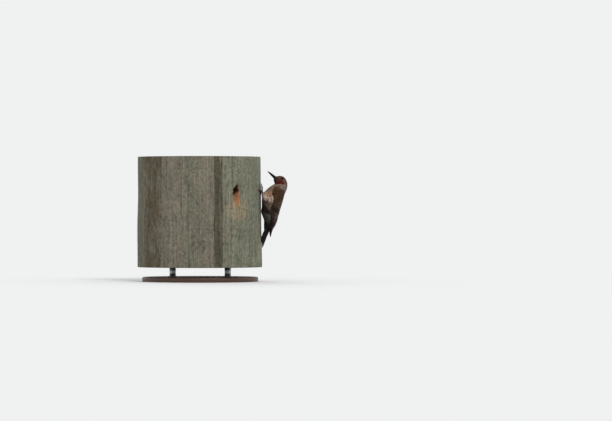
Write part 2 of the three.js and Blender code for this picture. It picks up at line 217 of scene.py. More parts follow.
class Recipe:
    """The nodes of one material, or of the world."""

    def __init__(self, name: str, owner: Optional[bpy.types.World] = None) -> None:
        """Starts with no nodes, in a new material where no owner is given."""
        self.owner = owner or bpy.data.materials.new(name)
        self.owner.use_nodes = True
        self.tree = self.owner.node_tree
        self.tree.nodes.clear()

    def node(self, kind: str, settings: Optional[Dict[str, Any]] = None,
             inputs: Optional[Dict[Union[str, int], Any]] = None, output: Union[str, int] = 0) -> Signal:
        """Adds any node.

        Args:
            kind: The node's type.
            settings: Its properties, set first.
            inputs: Numbers, colours or signals for its sockets, by name or by place.
            output: Which output the signal is taken from.

        Returns:
            The chosen output as a signal.
        """
        made = self.tree.nodes.new(kind)
        for name, value in (settings or {}).items():
            setattr(made, name, value)
        for name, value in (inputs or {}).items():
            if isinstance(value, Signal):
                self.tree.links.new(value.socket, made.inputs[name])
            else:
                made.inputs[name].default_value = value
        return Signal(self, made.outputs[output])

    def place(self) -> Signal:
        """Object coordinates."""
        return self.node("ShaderNodeTexCoord", output="Object")

    def attribute(self, name: str, output: str = "Vector") -> Signal:
        """A named attribute of the mesh."""
        return self.node("ShaderNodeAttribute", {"attribute_name": name}, output=output)

    def split(self, vector: Signal) -> List[Signal]:
        """The three parts of a vector."""
        first = self.node("ShaderNodeSeparateXYZ", inputs={0: vector})
        return [Signal(self, socket) for socket in first.socket.node.outputs]

    def brightened(self, colour: Signal, by: Number) -> Signal:
        """A colour times a number."""
        return self.node("ShaderNodeVectorMath", {"operation": "SCALE"}, {0: colour, "Scale": by})

    def noise(self, vector: Signal, scale: float, detail: float = 2.0, rough: float = 0.5,
              stretch: Values = ()) -> Signal:
        """Noise from 0 to 1.

        Args:
            vector: Where it is read.
            scale: How fine it is.
            detail: How many finer layers it has.
            rough: How strong the finer layers are.
            stretch: What the vector is multiplied by first, part by part.

        Returns:
            The noise.
        """
        if stretch:
            vector = self.node("ShaderNodeVectorMath", {"operation": "MULTIPLY"},
                               {0: vector, 1: tuple(stretch)})
        return self.node(
            "ShaderNodeTexNoise", {"noise_dimensions": "3D"},
            {"Vector": vector, "Scale": scale, "Detail": detail, "Roughness": rough})

    def mix(self, factor: Number, first: Any, second: Any) -> Signal:
        """Blends from the first colour to the second."""
        def full(value: Any) -> Any:
            """A plain colour with its alpha."""
            return value if isinstance(value, Signal) else (*value, 1)
        return self.node(
            "ShaderNodeMix", {"data_type": "RGBA", "clamp_factor": True},
            {0: factor, 6: full(first), 7: full(second)}, output=2)

    def bump(self, height: Signal, strength: float, distance: float) -> Signal:
        """A surface normal tilted by a height."""
        return self.node("ShaderNodeBump", None,
                         {"Height": height, "Strength": strength, "Distance": distance})

    def close(self, colour: Any, roughness: Number, normal: Optional[Signal] = None,
              metallic: float = 0.0, **fixed: float) -> Look:
        """Ends the recipe with a Principled surface.

        Args:
            colour: Base colour.
            roughness: Roughness.
            normal: Bumped normal, if there is one.
            metallic: Metallic, the same all over.
            fixed: Other sockets that are the same all over, with _ for a space.

        Returns:
            The finished material.
        """
        inputs: Dict[Union[str, int], Any] = {
            "Base Color": colour if isinstance(colour, Signal) else (*colour, 1),
            "Roughness": roughness, "Metallic": metallic}
        inputs.update({name.replace("_", " "): value for name, value in fixed.items()})
        if normal is not None:
            inputs["Normal"] = normal
        return self.finish(self.node("ShaderNodeBsdfPrincipled", None, inputs))

    def finish(self, surface: Signal, output: str = "ShaderNodeOutputMaterial") -> Look:
        """Ends the recipe with any surface."""
        self.tree.links.new(surface.socket, self.tree.nodes.new(output).inputs["Surface"])
        return self.owner


@dataclass(frozen=True)
class GrainFinish:
    """Plain finish: one noise, stretched along the axes, blends two colours and lifts the surface."""

    name: str
    dark: Colour
    pale: Colour
    scale: float
    stretch: Values = ()
    roughness: float = 0.8
    uneven: float = 0.0
    relief: Values = (0.3, 0.0003)  # strength, and height in metres
    metallic: float = 0.0
    specular: float = 0.5

    def material(self) -> Look:
        """Builds the material."""
        r = Recipe(self.name)
        grain = r.noise(r.place(), self.scale, 3, stretch=self.stretch)
        colour = r.mix(grain, self.dark, self.pale)
        rough = self.roughness + grain * self.uneven if self.uneven else self.roughness
        normal = r.bump(grain, *self.relief) if self.relief else None
        return r.close(colour, rough, normal, self.metallic, Specular_IOR_Level=self.specular)


# -------- meshes

def ring_quads(rows: int, columns: int, closed: bool) -> Array:
    """Quads between the points of a grid; a closed grid joins its last column to its first."""
    r, c = grid(np.arange(rows - 1), np.arange(columns - (not closed)))
    here, beside = r * columns + c, r * columns + (c + 1) % columns
    return np.stack([here, here + columns, beside + columns, beside], -1).reshape(-1, 4)


def closed_form(rings: Array) -> Mesh:
    """Joins rings of points into one closed solid, with a fan over each end, facing outwards.

    The sum of a . (b x c) over its triangles is six times its volume, so its sign tells which way
    the faces look.

    Args:
        rings: Points, ring by ring, in mm.

    Returns:
        The points, and the quads and triangles between them.
    """
    rows, columns = rings.shape[:2]
    points = np.concatenate([rings.reshape(-1, 3), rings[[0, -1]].mean(axis=1)])
    j = np.arange(columns)
    k = (j + 1) % columns
    first, last = np.full(columns, rows * columns), np.full(columns, rows * columns + 1)
    end = (rows - 1) * columns
    quads = ring_quads(rows, columns, True)
    fans = np.concatenate([np.stack([j, k, first], -1), np.stack([end + k, end + j, last], -1)])
    halves = np.concatenate([fans, quads[:, [0, 1, 2]], quads[:, [0, 2, 3]]])
    a, b, c = (points[halves[:, i]] for i in range(3))
    way = 1 if np.einsum("ij,ij->", a, np.cross(b, c)) > 0 else -1
    return points, [quads[:, ::way], fans[:, ::way]]


def joined(parts: Sequence[Mesh]) -> Mesh:
    """Puts several sets of points and faces into one."""
    starts = np.cumsum([0] + [len(points) for points, _ in parts])
    faces = [f + start for (_, own), start in zip(parts, starts) for f in own]
    return np.concatenate([points for points, _ in parts]), faces


def link(made: Piece) -> Piece:
    """Puts an object into the scene."""
    bpy.context.scene.collection.objects.link(made)
    return made


def make_piece(name: str, shape: Mesh, look: Look, replaced: Sequence[str] = ()) -> Piece:
    """Makes one mesh piece that rides on the model.

    Args:
        name: The piece's name.
        shape: Its points and faces.
        look: Its material.
        replaced: CAD nodes that it stands for.

    Returns:
        The new object.
    """
    points, faces = shape
    mesh = bpy.data.meshes.new(name)
    mesh.materials.append(look)
    sizes = np.concatenate([np.full(len(f), f.shape[1]) for f in faces])
    corners = np.concatenate([f.ravel() for f in faces]).astype(np.int32)
    starts = np.concatenate([[0], np.cumsum(sizes)[:-1]]).astype(np.int32)
    mesh.vertices.add(len(points))
    mesh.vertices.foreach_set("co", (points * MM).astype(np.float32).ravel())
    mesh.loops.add(len(corners))
    mesh.loops.foreach_set("vertex_index", corners)
    mesh.polygons.add(len(sizes))
    mesh.polygons.foreach_set("loop_start", starts)
    mesh.polygons.foreach_set("use_smooth", np.ones(len(sizes), bool))
    mesh.update(calc_edges=True)
    made = link(bpy.data.objects.new(name, mesh))
    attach(made, "root")
    if replaced:
        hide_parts(*replaced)
    LOG.info("%s: %d faces", name, len(sizes))
    return made


def add_attribute(piece: Piece, name: str, values: Array) -> None:
    """Stores one vector, or one colour of four numbers, at each point of a piece."""
    colour = values.shape[-1] == 4
    kind, key = ("FLOAT_COLOR", "color") if colour else ("FLOAT_VECTOR", "vector")
    layer = piece.data.attributes.new(name, kind, "POINT")
    layer.data.foreach_set(key, values.astype(np.float32).ravel())


def add_bake_map(piece: Piece, flat: Array) -> None:
    """Stores a flat place, 0 to 1, for each point of a piece as its bake map."""
    corners = np.empty(len(piece.data.loops), np.int32)
    piece.data.loops.foreach_get("vertex_index", corners)
    layer = piece.data.uv_layers.new(name="OFBake")
    layer.data.foreach_set("uv", flat[corners].astype(np.float32).ravel())


# -------- the bird's forms

class Side(Enum):
    """The bird's two sides, as the sign of Y."""

    LEFT = -1
    RIGHT = 1

    @property
    def word(self) -> str:
        """The side's name in node names."""
        return self.name.lower()


class Form:
    """A smooth surface with two parameters, in millimetres, before the bird is set on the pole."""

    facing = 1.0

    def point(self, along: Array, around: Array) -> Array:
        """The place of each pair of parameters."""
        raise NotImplementedError

    def basis(self, along: Array, around: Array) -> Tuple[Array, Array, Array, Array]:
        """Places, the steps along and around for one unit of each parameter, and outward normals."""
        step = 1e-3
        ahead = (self.point(along + step, around) - self.point(along - step, around)) / (2 * step)
        aside = (self.point(along, around + step) - self.point(along, around - step)) / (2 * step)
        return self.point(along, around), ahead, aside, unit(np.cross(ahead, aside)) * self.facing

    def lifted(self, along: Array, around: Array, lift: Array) -> Array:
        """Places raised from the surface by lift."""
        place, _, _, normal = self.basis(along, around)
        return place + normal * np.asarray(lift)[..., None]


@dataclass
class BodyForm(Form):
    """Outline of trunk, neck and head as rings from the tail coverts to the bill.

    A ring is an ellipse between its front and back ends in the middle plane, with its own half
    width. From the neck on, the rings turn with the head.
    """

    rings: Table = (
        # front distance and height, back distance and height, half width
        (222.3, 181, 234, 178, 8),
        (221.5, 196.6, 243.9, 190.4, 14.5),
        (220, 213.9, 250.8, 204.2, 20),
        (215, 227.4, 258.2, 219, 24.5),
        (211, 240.5, 264.6, 233.8, 28),
        (213.2, 260.5, 271.4, 249.7, 31),
        (213.2, 281.2, 278.9, 270, 33),
        (215.3, 296.7, 286.4, 286, 34),
        (221.8, 308.8, 292.6, 301.9, 33),
        (233.2, 320.1, 298, 314, 30),
        (245.3, 329.5, 300.5, 323.4, 26.5),
        (255.6, 336, 301.3, 333.8, 20),
        (256.4, 339.6, 300.6, 343, 15.7),
        (254.6, 343.3, 297.4, 352.2, 14.3),
        (253.6, 346.8, 291.3, 360.2, 13.5),
        (253.3, 350, 282.4, 364, 12.2),
        (253.3, 352.6, 271.8, 364, 10.1),
        (253.9, 354.6, 262.9, 362.6, 7.4),
    )
    facing: float = -1.0
    centre: Values = (278.0, 0.0, 346.0)
    pitch: float = 38.0
    yaw: float = 15.0
    roll: float = 20.0
    turn_from: float = 8.5
    turn_to: float = 12.5
    eye: Span = (3.2, 5.4)  # forward and up of the head's centre

    @property
    def forward(self) -> Array:
        """The bill's direction before the head turns."""
        pitch = math.radians(self.pitch)
        return np.array([-math.cos(pitch), 0, math.sin(pitch)])

    @property
    def up(self) -> Array:
        """The crown's direction before the head turns."""
        pitch = math.radians(self.pitch)
        return np.array([math.sin(pitch), 0, math.cos(pitch)])

    def _whole_turn(self) -> Tuple[Array, float]:
        """The head's roll and then yaw as one turn: its axis and its degrees."""
        matrix = turned(turned(np.eye(3), self.forward, self.roll), (0, 0, 1), self.yaw).T
        angle = math.acos((np.trace(matrix) - 1) / 2)
        axis = np.array([matrix[2, 1] - matrix[1, 2], matrix[0, 2] - matrix[2, 0],
                         matrix[1, 0] - matrix[0, 1]])
        return axis, math.degrees(angle)

    def straight(self, along: Array, around: Array) -> Array:
        """The place on a ring before the head turns."""
        front_x, front_z, back_x, back_z, half = np.moveaxis(read_table(self.rings, along), -1, 0)
        reach = np.cos(around)
        return np.stack([
            (front_x + back_x) / 2 + (back_x - front_x) / 2 * reach, half * np.sin(around),
            (front_z + back_z) / 2 + (back_z - front_z) / 2 * reach], -1)

    def point(self, along: Array, around: Array) -> Array:
        """The place on a ring, turned with the head by its share."""
        axis, degrees = self._whole_turn()
        share = ease(self.turn_from, self.turn_to, along)
        return turned(self.straight(along, around) - self.centre, axis, share * degrees) + self.centre

    def head_measures(self, places: Array) -> Tuple[Array, Array, Array]:
        """How far straight places lie forward, up and left of the head's centre."""
        offset = places - self.centre
        return offset @ self.forward, offset @ self.up, -offset[..., 1]

    def in_head(self, forward: Array, up: Array, left: Array) -> Array:
        """Turns places in the head's own frame into the bird's, with the head's roll and yaw.

        Args:
            forward: How far they lie towards the bill.
            up: How far towards the crown.
            left: How far to the bird's left.

        Returns:
            The places.
        """
        forward, up, left = np.broadcast_arrays(forward, up, left)
        offset = (forward[..., None] * self.forward + up[..., None] * self.up
                  + left[..., None] * np.array([0.0, -1.0, 0.0]))
        axis, degrees = self._whole_turn()
        return turned(offset, axis, degrees) + self.centre


@dataclass
class WingForm(Form):
    """Outer face of one folded wing as arcs round the body, from the shoulder to the tip.

    An arc hangs from its back point, is as deep and half as wide as the table says, and runs
    between two angles, where 0 is the middle of the back and 90 the bird's side.
    """

    side: Side = Side.LEFT
    arcs: Table = (
        # back distance and height, depth, half width, angles where it starts and ends, thickness
        (299.5, 322.5, 36.5, 31.5, 74, 88, 1.4),
        (296, 311, 36.5, 35.4, 50, 97, 3),
        (290.1, 295, 35, 37.6, 36, 98, 3.6),
        (285.6, 279.4, 32.3, 38, 26, 88, 3.8),
        (280.7, 262.2, 30.6, 36.8, 17, 90, 3.8),
        (275.2, 244.9, 28.3, 34, 8, 95, 3.5),
        (270.9, 226, 24.8, 30, 4, 97, 3.2),
        (266.8, 208.7, 21, 25, 3, 96, 2.9),
        (260.4, 192, 16.7, 19.5, 3.5, 98, 2.5),
        (253, 178.5, 12.7, 14.5, 9, 98, 2),
        (248.7, 165.8, 8.9, 11, 14, 88, 1.5),
        (245.1, 153, 4.5, 8.5, 35, 70, 0.8),
    )
    tilt: float = 17.0
    swelling: float = 0.14  # share of an arc that the side feathers hide where they swell most

    def __post_init__(self) -> None:
        """Makes the face point away from the body on either side."""
        self.facing = float(self.side.value)

    @property
    def outward(self) -> Array:
        """The direction straight out of the back."""
        tilt = math.radians(self.tilt)
        return np.array([math.cos(tilt), 0, -math.sin(tilt)])

    def point(self, along: Array, around: Array) -> Array:
        """The place at an arc and a share of it."""
        back_x, back_z, deep, half, start, end, _ = np.moveaxis(read_table(self.arcs, along), -1, 0)
        angle = np.radians(start + (end - start) * around)
        back = np.stack([back_x, 0 * back_x, back_z], -1)
        place = back - (deep * (1 - np.cos(angle)))[..., None] * self.outward
        place[..., 1] = self.side.value * half * np.sin(angle)
        return place

    @staticmethod
    def swell(along: Array) -> Array:
        """How far the side feathers swell over the wing's front edge, 1 at the bend."""
        return ease(2.3, 2.9, along) * ease(4.3, 3.5, along) + 0.6 * (
            ease(5.0, 5.8, along) * ease(8.6, 7.8, along))

    def locate(self, places: Array) -> Pair:
        """Finds the arc and the share of it that lie nearest to places beside the wing.

        Args:
            places: The places.

        Returns:
            Both parameters for each place.
        """
        lengthwise = np.array([self.outward[2], 0, -self.outward[0]])
        stations = np.array(self.arcs)[:, :2] @ lengthwise[[0, 2]]
        height = places @ lengthwise
        along = np.interp(height, stations, np.arange(len(stations)))
        back_x, back_z, deep, half, start, end, _ = np.moveaxis(read_table(self.arcs, along), -1, 0)
        drop = (np.stack([back_x, 0 * back_x, back_z], -1) - places) @ self.outward
        angle = np.degrees(np.arctan2(self.side.value * places[..., 1] / half, 1 - drop / deep))
        return along, (angle - start) / (end - start)


@dataclass(frozen=True)
class TailForm(Form):
    """Upper face of the closed tail: a shallow roof whose edges drop towards the wood."""

    rows: Table = (
        # ridge distance, height, half width, drop of the edges
        (242, 190, 13, 12),
        (240.5, 177, 17, 18),
        (236, 165, 19.5, 19.5),
        (230.9, 154.5, 20.5, 17.4),
        (226.5, 143, 19.5, 13.8),
        (222.1, 131, 16, 9.4),
        (217.8, 121, 9, 4.6),
        (214.8, 115.5, 2.5, 0.8),
    )
    facing: float = 1.0

    def point(self, along: Array, around: Array) -> Array:
        """The place at a row and a share of the half width, -1 to 1."""
        ridge, height, half, drop = np.moveaxis(read_table(self.rows, along), -1, 0)
        share = np.abs(around) ** 1.4
        return np.stack([ridge - drop * share, half * around, height], -1)


@dataclass
class TubeForm(Form):
    """A round tube along a curve given as rows of place and radius."""

    path: Array
    facing: float = -1.0

    def point(self, along: Array, around: Array) -> Array:
        """The place at a row and an angle round the tube."""
        row = read_table(self.path, along)
        last = len(self.path) - 1
        ahead = read_table(self.path, np.minimum(along + 0.05, last))
        behind = read_table(self.path, np.maximum(along - 0.05, 0))
        run = unit((ahead - behind)[..., :3])
        across = unit(np.cross(np.array([0.31, 0.2, -0.93]), run))
        other = np.cross(run, across)
        return row[..., :3] + row[..., 3:] * (
            across * np.cos(around)[..., None] + other * np.sin(around)[..., None])


@dataclass(frozen=True)
class PoleForm:
    """The plain tapered round of the pole."""

    bottom: float = 50.0
    length: float = 380.0
    bottom_radius: float = 213.0
    top_radius: float = 208.0

    def radius(self, height: Array) -> Array:
        """The radius at a height above the floor."""
        share = (np.asarray(height) - self.bottom) / self.length
        return self.bottom_radius + (self.top_radius - self.bottom_radius) * share

    def on_wood(self, sideways: Array, height: Array, clearance: Array) -> Array:
        """Finds places on or off the wood.

        Args:
            sideways: Distance round the wood from +X.
            height: Height above the floor.
            clearance: Distance from the wood.

        Returns:
            The places.
        """
        radius = self.radius(height)
        angle, reach, height = np.broadcast_arrays(sideways / radius, radius + clearance, height)
        return np.stack([reach * np.cos(angle), reach * np.sin(angle), height], -1)


BIRD_BEARING = -4.0  # degrees round the pole from +X
TUCK = 3.4  # how far, in mm, feathers sink where others lie over them


def on_pole(points: Array) -> Array:
    """Turns the bird's own places round the pole to where it clings."""
    return turned(points, (0, 0, 1), BIRD_BEARING)


def bird_piece(name: str, shape: Mesh, look: Look, replaced: Sequence[str] = ()) -> Piece:
    """Makes a piece of the bird where it clings, with what make_piece takes."""
    return make_piece(name, (on_pole(shape[0]), shape[1]), look, replaced)


# -------- feathers as meshes

@dataclass(frozen=True)
class VaneCut:
    """How one kind of small feather is cut.

    Its width swells from root to widest. Its end is round: the sides stop short by blunt. Its
    edges sink by camber, the ends of its barbs differ by fray, and it is thick in the middle.
    """

    columns: int = 9
    rows: int = 6
    root: float = 0.45
    widest: float = 0.6
    tip: float = 0.86
    blunt: float = 0.4
    camber: float = 0.06
    fray: float = 0.035
    thick: float = 0.08
    rise: float = 0.2

    def faces(self) -> List[Array]:
        """The faces of one closed vane: its upper grid, then two strips under it to a keel."""
        rows, columns = self.rows, self.columns
        keel, last = rows * columns, columns - 1
        r, c = np.arange(rows - 1), np.arange(columns - 1)
        left, right, middle = r * columns, r * columns + last, keel + r
        tip = (rows - 1) * columns
        quads = np.concatenate([
            ring_quads(rows, columns, False), np.stack([left, middle, middle + 1, left + columns], -1),
            np.stack([middle, right, right + columns, middle + 1], -1)])
        ends = np.concatenate([
            np.stack([c, c + 1, np.full(last, keel)], -1),
            np.stack([tip + c + 1, tip + c, np.full(last, keel + rows - 1)], -1)])
        return [quads, ends]


@dataclass(frozen=True)
class QuillCut:
    """How one kind of flight feather is cut: shares of its half width, and heights in mm.

    The outer web is narrower than the inner one and lies higher by tilt, so that each feather
    rests on the next one out, like shingles.
    """

    rows: int = 44
    root: float = 0.45
    widest: float = 0.5
    tip_from: float = 0.84
    point: float = 0.55
    outer_web: float = 0.75
    camber: float = 0.2
    tilt: float = 0.55
    shaft: float = 0.22
    thick: float = 0.22
    ragged: float = 0.03


QUILL_COLUMNS = np.array([-1, -0.8, -0.5, -0.22, -0.07, 0, 0.07, 0.22, 0.5, 0.8, 1.0])


class Coat:
    """Collects vanes and makes one piece of them."""

    def __init__(self) -> None:
        """Starts with nothing."""
        self.parts: List[Mesh] = []
        self.vane: List[Array] = []
        self.tint: List[Array] = []
        self.marks: List[Array] = []
        self.flat: List[Array] = []

    def note(self, across: Array, down: Array, seed: Array, tint: Array, marks: Array,
             flat: Array, under: Union[float, Array] = 0.0) -> None:
        """Stores what the material and the bake map need at each point of some feathers.

        Args:
            across: Place of each point across its feather, -1 to 1.
            down: Place of each point down its feather, 0 to 1.
            seed: One random number for each feather.
            tint: Ground colour of each feather.
            marks: Spot, bar and fringe of each feather.
            flat: Place of each point on the bake map.
            under: 1 where a point is on an under face.
        """
        shape = across.shape
        seed = np.broadcast_to(seed[:, None], shape)
        self.vane.append(np.stack([across, down, seed], -1).reshape(-1, 3))
        tint = np.broadcast_to(tint[:, None, :], (*shape, 3))
        under = np.broadcast_to(under, shape)[..., None]
        self.tint.append(np.concatenate([tint, under], -1).reshape(-1, 4))
        self.marks.append(np.broadcast_to(marks[:, None, :], (*shape, 3)).reshape(-1, 3))
        self.flat.append(flat.reshape(-1, 2))

    def add_vanes(self, cut: VaneCut, laid: Sequence[Array], seed: Array, tint: Array,
                  marks: Array, root: Array) -> None:
        """Adds small closed vanes.

        Args:
            cut: How they are cut.
            laid: What lay_vanes gives.
            seed: One random number for each vane.
            tint: Ground colour of each vane.
            marks: Spot, bar and fringe of each vane.
            root: Each root's place on the flattened skin, 0 to 1.
        """
        points, across, down = laid
        count, size = points.shape[:2]
        starts = np.arange(count)[:, None, None] * size
        faces = [(f[None] + starts).reshape(-1, f.shape[1]) for f in cut.faces()]
        self.parts.append((points.reshape(-1, 3), faces))
        root = 0.004 + 0.992 * root  # keeps the patches inside the map
        flat = root[:, None, :] + PATCH * np.stack([across * 0.5, down - 0.5], -1)
        self.note(across, down, seed, tint, marks, flat)

    def add_slabs(self, laid: Sequence[Array], seed: Array, tint: Array, marks: Array) -> None:
        """Adds closed feathers with an upper and an under face, each with its own bake strip.

        Args:
            laid: What lay_quills gives.
            seed: One random number for each feather.
            tint: Ground colour of each feather.
            marks: Spot, bar and fringe of each feather.
        """
        top, under, across, down = laid
        count, rows, columns = top.shape[:3]
        size = rows * columns
        upper = ring_quads(rows, columns, False)
        lower = upper[:, ::-1] + size
        r, c = np.arange(rows - 1), np.arange(columns - 1)
        last = columns - 1
        row, end = r * columns, (rows - 1) * columns
        walls = [np.stack([a, a + size, b + size, b], -1) for a, b in (
            (row, row + columns), (row + columns + last, row + last), (c + 1, c),
            (end + c, end + c + 1))]
        faces = np.concatenate([upper, lower, *walls])
        starts = np.arange(count)[:, None, None] * 2 * size
        points = np.concatenate([top.reshape(count, size, 3), under.reshape(count, size, 3)], 1)
        self.parts.append((points.reshape(-1, 3), [(faces[None] + starts).reshape(-1, 4)]))
        across, down = (np.tile(np.broadcast_to(v, (count, rows, columns)).reshape(count, size), 2)
                        for v in (across, down))
        under = np.repeat([0.0, 1.0], size)
        strip = (np.arange(count)[:, None] + 0.24 + 0.2 * across + 0.5 * under) / count
        flat = np.stack([strip, 0.02 + 0.96 * down], -1)
        self.note(across, down, seed, tint, marks, flat, under)

    def build(self, name: str, slot: str, look: Look, replaced: Sequence[str] = ()) -> None:
        """Makes the piece, with what make_piece takes besides its shape."""
        piece = bird_piece(name, joined(self.parts), look, replaced)
        for title, values in (("vane", self.vane), ("tint", self.tint), ("marks", self.marks)):
            add_attribute(piece, title, np.concatenate(values))
        add_bake_map(piece, np.clip(np.concatenate(self.flat), 0, 1))


def lay_vanes(form: Form, along: Array, around: Array, lie: Array, length: Array, half: Array,
              lifts: Pair, cut: VaneCut, rng: Chance) -> Tuple[Array, Array, Array]:
    """Lays small feathers on a form, each bent to it.

    A vane's place down and across its root's tangent plane is turned into steps of the form's two
    parameters, so the vane follows the form. It climbs from the first lift at its root to the
    second at its tip, steeply at first. A keel of points runs under its middle.

    Args:
        form: The surface that they lie on.
        along: First parameter of each root.
        around: Second parameter of each root.
        lie: Direction in which each feather points, as a vector.
        length: Length of each, in mm.
        half: Half width of each, in mm.
        lifts: Lift of each root and of each tip, in mm.
        cut: How they are cut.
        rng: Source of chance.

    Returns:
        The points of each vane, and their places across and down it.
    """
    count = len(along)
    across = np.sin(np.linspace(-1, 1, cut.columns) * math.pi / 2)
    down = np.linspace(0, 1, cut.rows)
    across, down = (v.ravel() for v in np.meshgrid(across, down))
    across = np.concatenate([across, np.zeros(cut.rows)])
    down = np.concatenate([down, np.linspace(0.02, 0.97, cut.rows)])
    keel = np.arange(len(down)) >= cut.rows * cut.columns
    swell = cut.root + (1 - cut.root) * np.sin(np.pi / 2 * np.minimum(down / cut.widest, 1))
    narrow = 1 - (1 - cut.tip) * np.clip((down - cut.widest) / (1 - cut.widest), 0, 1) ** 2
    loose = rng.normal(size=(count, len(down)))
    end = (down > 0.99) * cut.fray * loose
    short = 1 - cut.blunt * (1 - np.sqrt(1 - (0.97 * across) ** 2))
    run = length[:, None] * (down * short + end)
    side = 1 + 1.5 * cut.fray * loose * (np.abs(across) > 0.9)
    reach = half[:, None] * across * swell * narrow * side
    _, ahead, aside, normal = form.basis(along, around)
    lie = unit(lie - np.sum(lie * normal, -1, keepdims=True) * normal)
    beside = np.cross(normal, lie)
    aa, ab, bb = (np.sum(x * y, -1) for x, y in ((ahead, ahead), (ahead, aside), (aside, aside)))
    spread = aa * bb - ab * ab

    def steps(vector: Array) -> Pair:
        """The steps of both parameters that make one tangent vector."""
        a, b = np.sum(vector * ahead, -1), np.sum(vector * aside, -1)
        return ((a * bb - b * ab) / spread)[:, None], ((b * aa - a * ab) / spread)[:, None]

    (lie_a, lie_b), (beside_a, beside_b) = steps(lie), steps(beside)
    a = along[:, None] + run * lie_a + reach * beside_a
    b = around[:, None] + run * lie_b + reach * beside_b
    low, high = (np.broadcast_to(lift, count)[:, None] for lift in lifts)
    lift = low + (high - low) * down ** cut.rise - cut.camber * across ** 2 * (0.4 + 0.6 * down)
    points = form.lifted(a, b, lift - cut.thick * keel * (1 - 0.7 * down))
    across, down = (np.broadcast_to(v, (count, len(v))) for v in (across, down))
    return points, across, down


def lay_quills(form: Form, roots: Array, tips: Array, half: Array, lifts: Pair,
               cut: QuillCut, rng: Chance, outer: float = 1.0, bow: float = 0.0
               ) -> Tuple[Array, Array, Array, Array]:
    """Lays long feathers on a form, each along a line between two places on it.

    Args:
        form: The surface that they lie on.
        roots: Both parameters of each root.
        tips: Both parameters of each tip.
        half: Half width of each, in mm.
        lifts: Lift of each root and of each tip, in mm.
        cut: How they are cut.
        rng: Source of chance.
        outer: 1 where the second parameter grows towards the outer web, or -1.
        bow: How far the line bends sideways in its middle, as a share of the second parameter.

    Returns:
        The upper points, the under points, the places across and the places down.
    """
    across = QUILL_COLUMNS[None, None, :]
    down = (1 - (1 - np.linspace(0, 1, cut.rows)) ** 1.25)[None, :, None]
    swell = cut.root + (1 - cut.root) * np.sin(np.pi / 2 * np.minimum(down / cut.widest, 1))
    end = np.clip((down - cut.tip_from) / (1 - cut.tip_from), 0, 1)
    width = swell * np.maximum(1 - end ** 2.2, 0.004) ** cut.point
    torn = rng.normal(size=(len(roots), cut.rows, 2)) * cut.ragged
    torn -= 0.22 * (rng.random(torn.shape) < 0.035)
    edge = 1 + np.where(across > 0, torn[..., :1], torn[..., 1:]) * (np.abs(across) > 0.9)
    web = np.where(across * outer > 0, cut.outer_web, 1.0)
    a = roots[:, None, None, 0] + (tips - roots)[:, None, None, 0] * down + 0 * across
    b = roots[:, None, None, 1] + (tips - roots)[:, None, None, 1] * down + 0 * across
    b = b + bow * 4 * down * (1 - down)
    _, _, aside, _ = form.basis(a, b)
    b = b + half[:, None, None] * across * width * web * edge / np.linalg.norm(aside, axis=-1)
    low, high = (np.broadcast_to(lift, len(roots))[:, None, None] for lift in lifts)
    ridge = cut.shaft * np.exp(-(across / 0.09) ** 2) * (1.1 - down)
    lift = low + (high - low) * down - cut.camber * across ** 2 + cut.tilt * across * outer * width
    thick = cut.thick * (1.15 - 0.75 * np.abs(across)) * (1.1 - 0.7 * down ** 3)
    top, under = form.lifted(a, b, lift + ridge), form.lifted(a, b, lift - thick)
    if form.facing < 0:
        top, under, across = (v[:, :, ::-1] for v in (top, under, across))
    return top, under, across, down


def scatter(form: Form, along: Span, around: Span,
            spacing: Callable[[Array, Array], Array], rng: Chance,
            tries: int = 24000) -> Pair:
    """Spreads roots evenly by chance: none nearer to another than the spacing.

    Args:
        form: The surface that they stand on.
        along: Range of the first parameter.
        around: Range of the second parameter.
        spacing: Distance between roots, from both parameters, in mm.
        rng: Source of chance.
        tries: How many places are tried.

    Returns:
        Both parameters of each root.
    """
    a, b = rng.uniform(*along, tries), rng.uniform(*around, tries)
    place, ahead, aside, _ = form.basis(a, b)
    gap = spacing(a, b)
    area = np.linalg.norm(np.cross(ahead, aside), axis=-1) / gap ** 2
    kept = rng.random(tries) < area / np.percentile(area, 97)
    a, b, place, gap = a[kept], b[kept], place[kept], gap[kept]
    tree = kdtree.KDTree(len(a))
    for i, co in enumerate(place):
        tree.insert(co, i)
    tree.balance()
    free = np.ones(len(a), bool)
    chosen = []
    for i, co in enumerate(place):
        if free[i]:
            chosen.append(i)
            free[[hit[1] for hit in tree.find_range(co, gap[i])]] = False
    chosen = np.array(chosen)
    return a[chosen], b[chosen]


# -------- plumage

class Hue(Enum):
    """Ground colours of the plumage and of bare parts; some carry painted shade or a painted highlight,
    as marked.
    """

    CROWN = srgb(104, 78, 64)
    FOREHEAD = srgb(100, 82, 66)
    LORES = srgb(84, 46, 36)
    CHEEK = srgb(106, 74, 64)
    EAR = srgb(116, 92, 82)
    CHEEK_RED = srgb(104, 58, 50)
    MALAR = srgb(94, 24, 21)
    # The throat's grey, darkened with painted shade of the chin and throat.
    THROAT = srgb(56, 46, 43)
    NAPE = srgb(92, 80, 73)
    NECK = srgb(134, 119, 111)
    MANTLE = srgb(76, 55, 39)
    SHOULDER = srgb(106, 80, 60)
    # The upper breast's pale colour, partly lightened as a painted highlight.
    SLOPE = srgb(152, 128, 109)
    CRESCENT = srgb(26, 21, 19)
    BREAST = srgb(192, 148, 116)
    BREAST_PALE = srgb(212, 186, 169)
    FLANK = srgb(110, 94, 82)
    # Belly, vent and undertail: their own spotted colours darkened with painted shade of the underparts.
    BELLY = srgb(42, 35, 29)
    VENT = srgb(84, 82, 72)
    COVERT = srgb(34, 33, 30)
    RUMP = srgb(196, 190, 178)
    WING = srgb(75, 53, 37)
    WING_LOW = srgb(52, 41, 32)
    TERTIAL = srgb(98, 88, 79)
    PRIMARY = srgb(24, 20, 17)
    TAIL = srgb(20, 18, 17)
    SPOT = srgb(18, 14, 12)
    BAR = srgb(26, 19, 15)
    SALMON = srgb(150, 70, 44)
    RED_SHAFT = srgb(96, 46, 32)


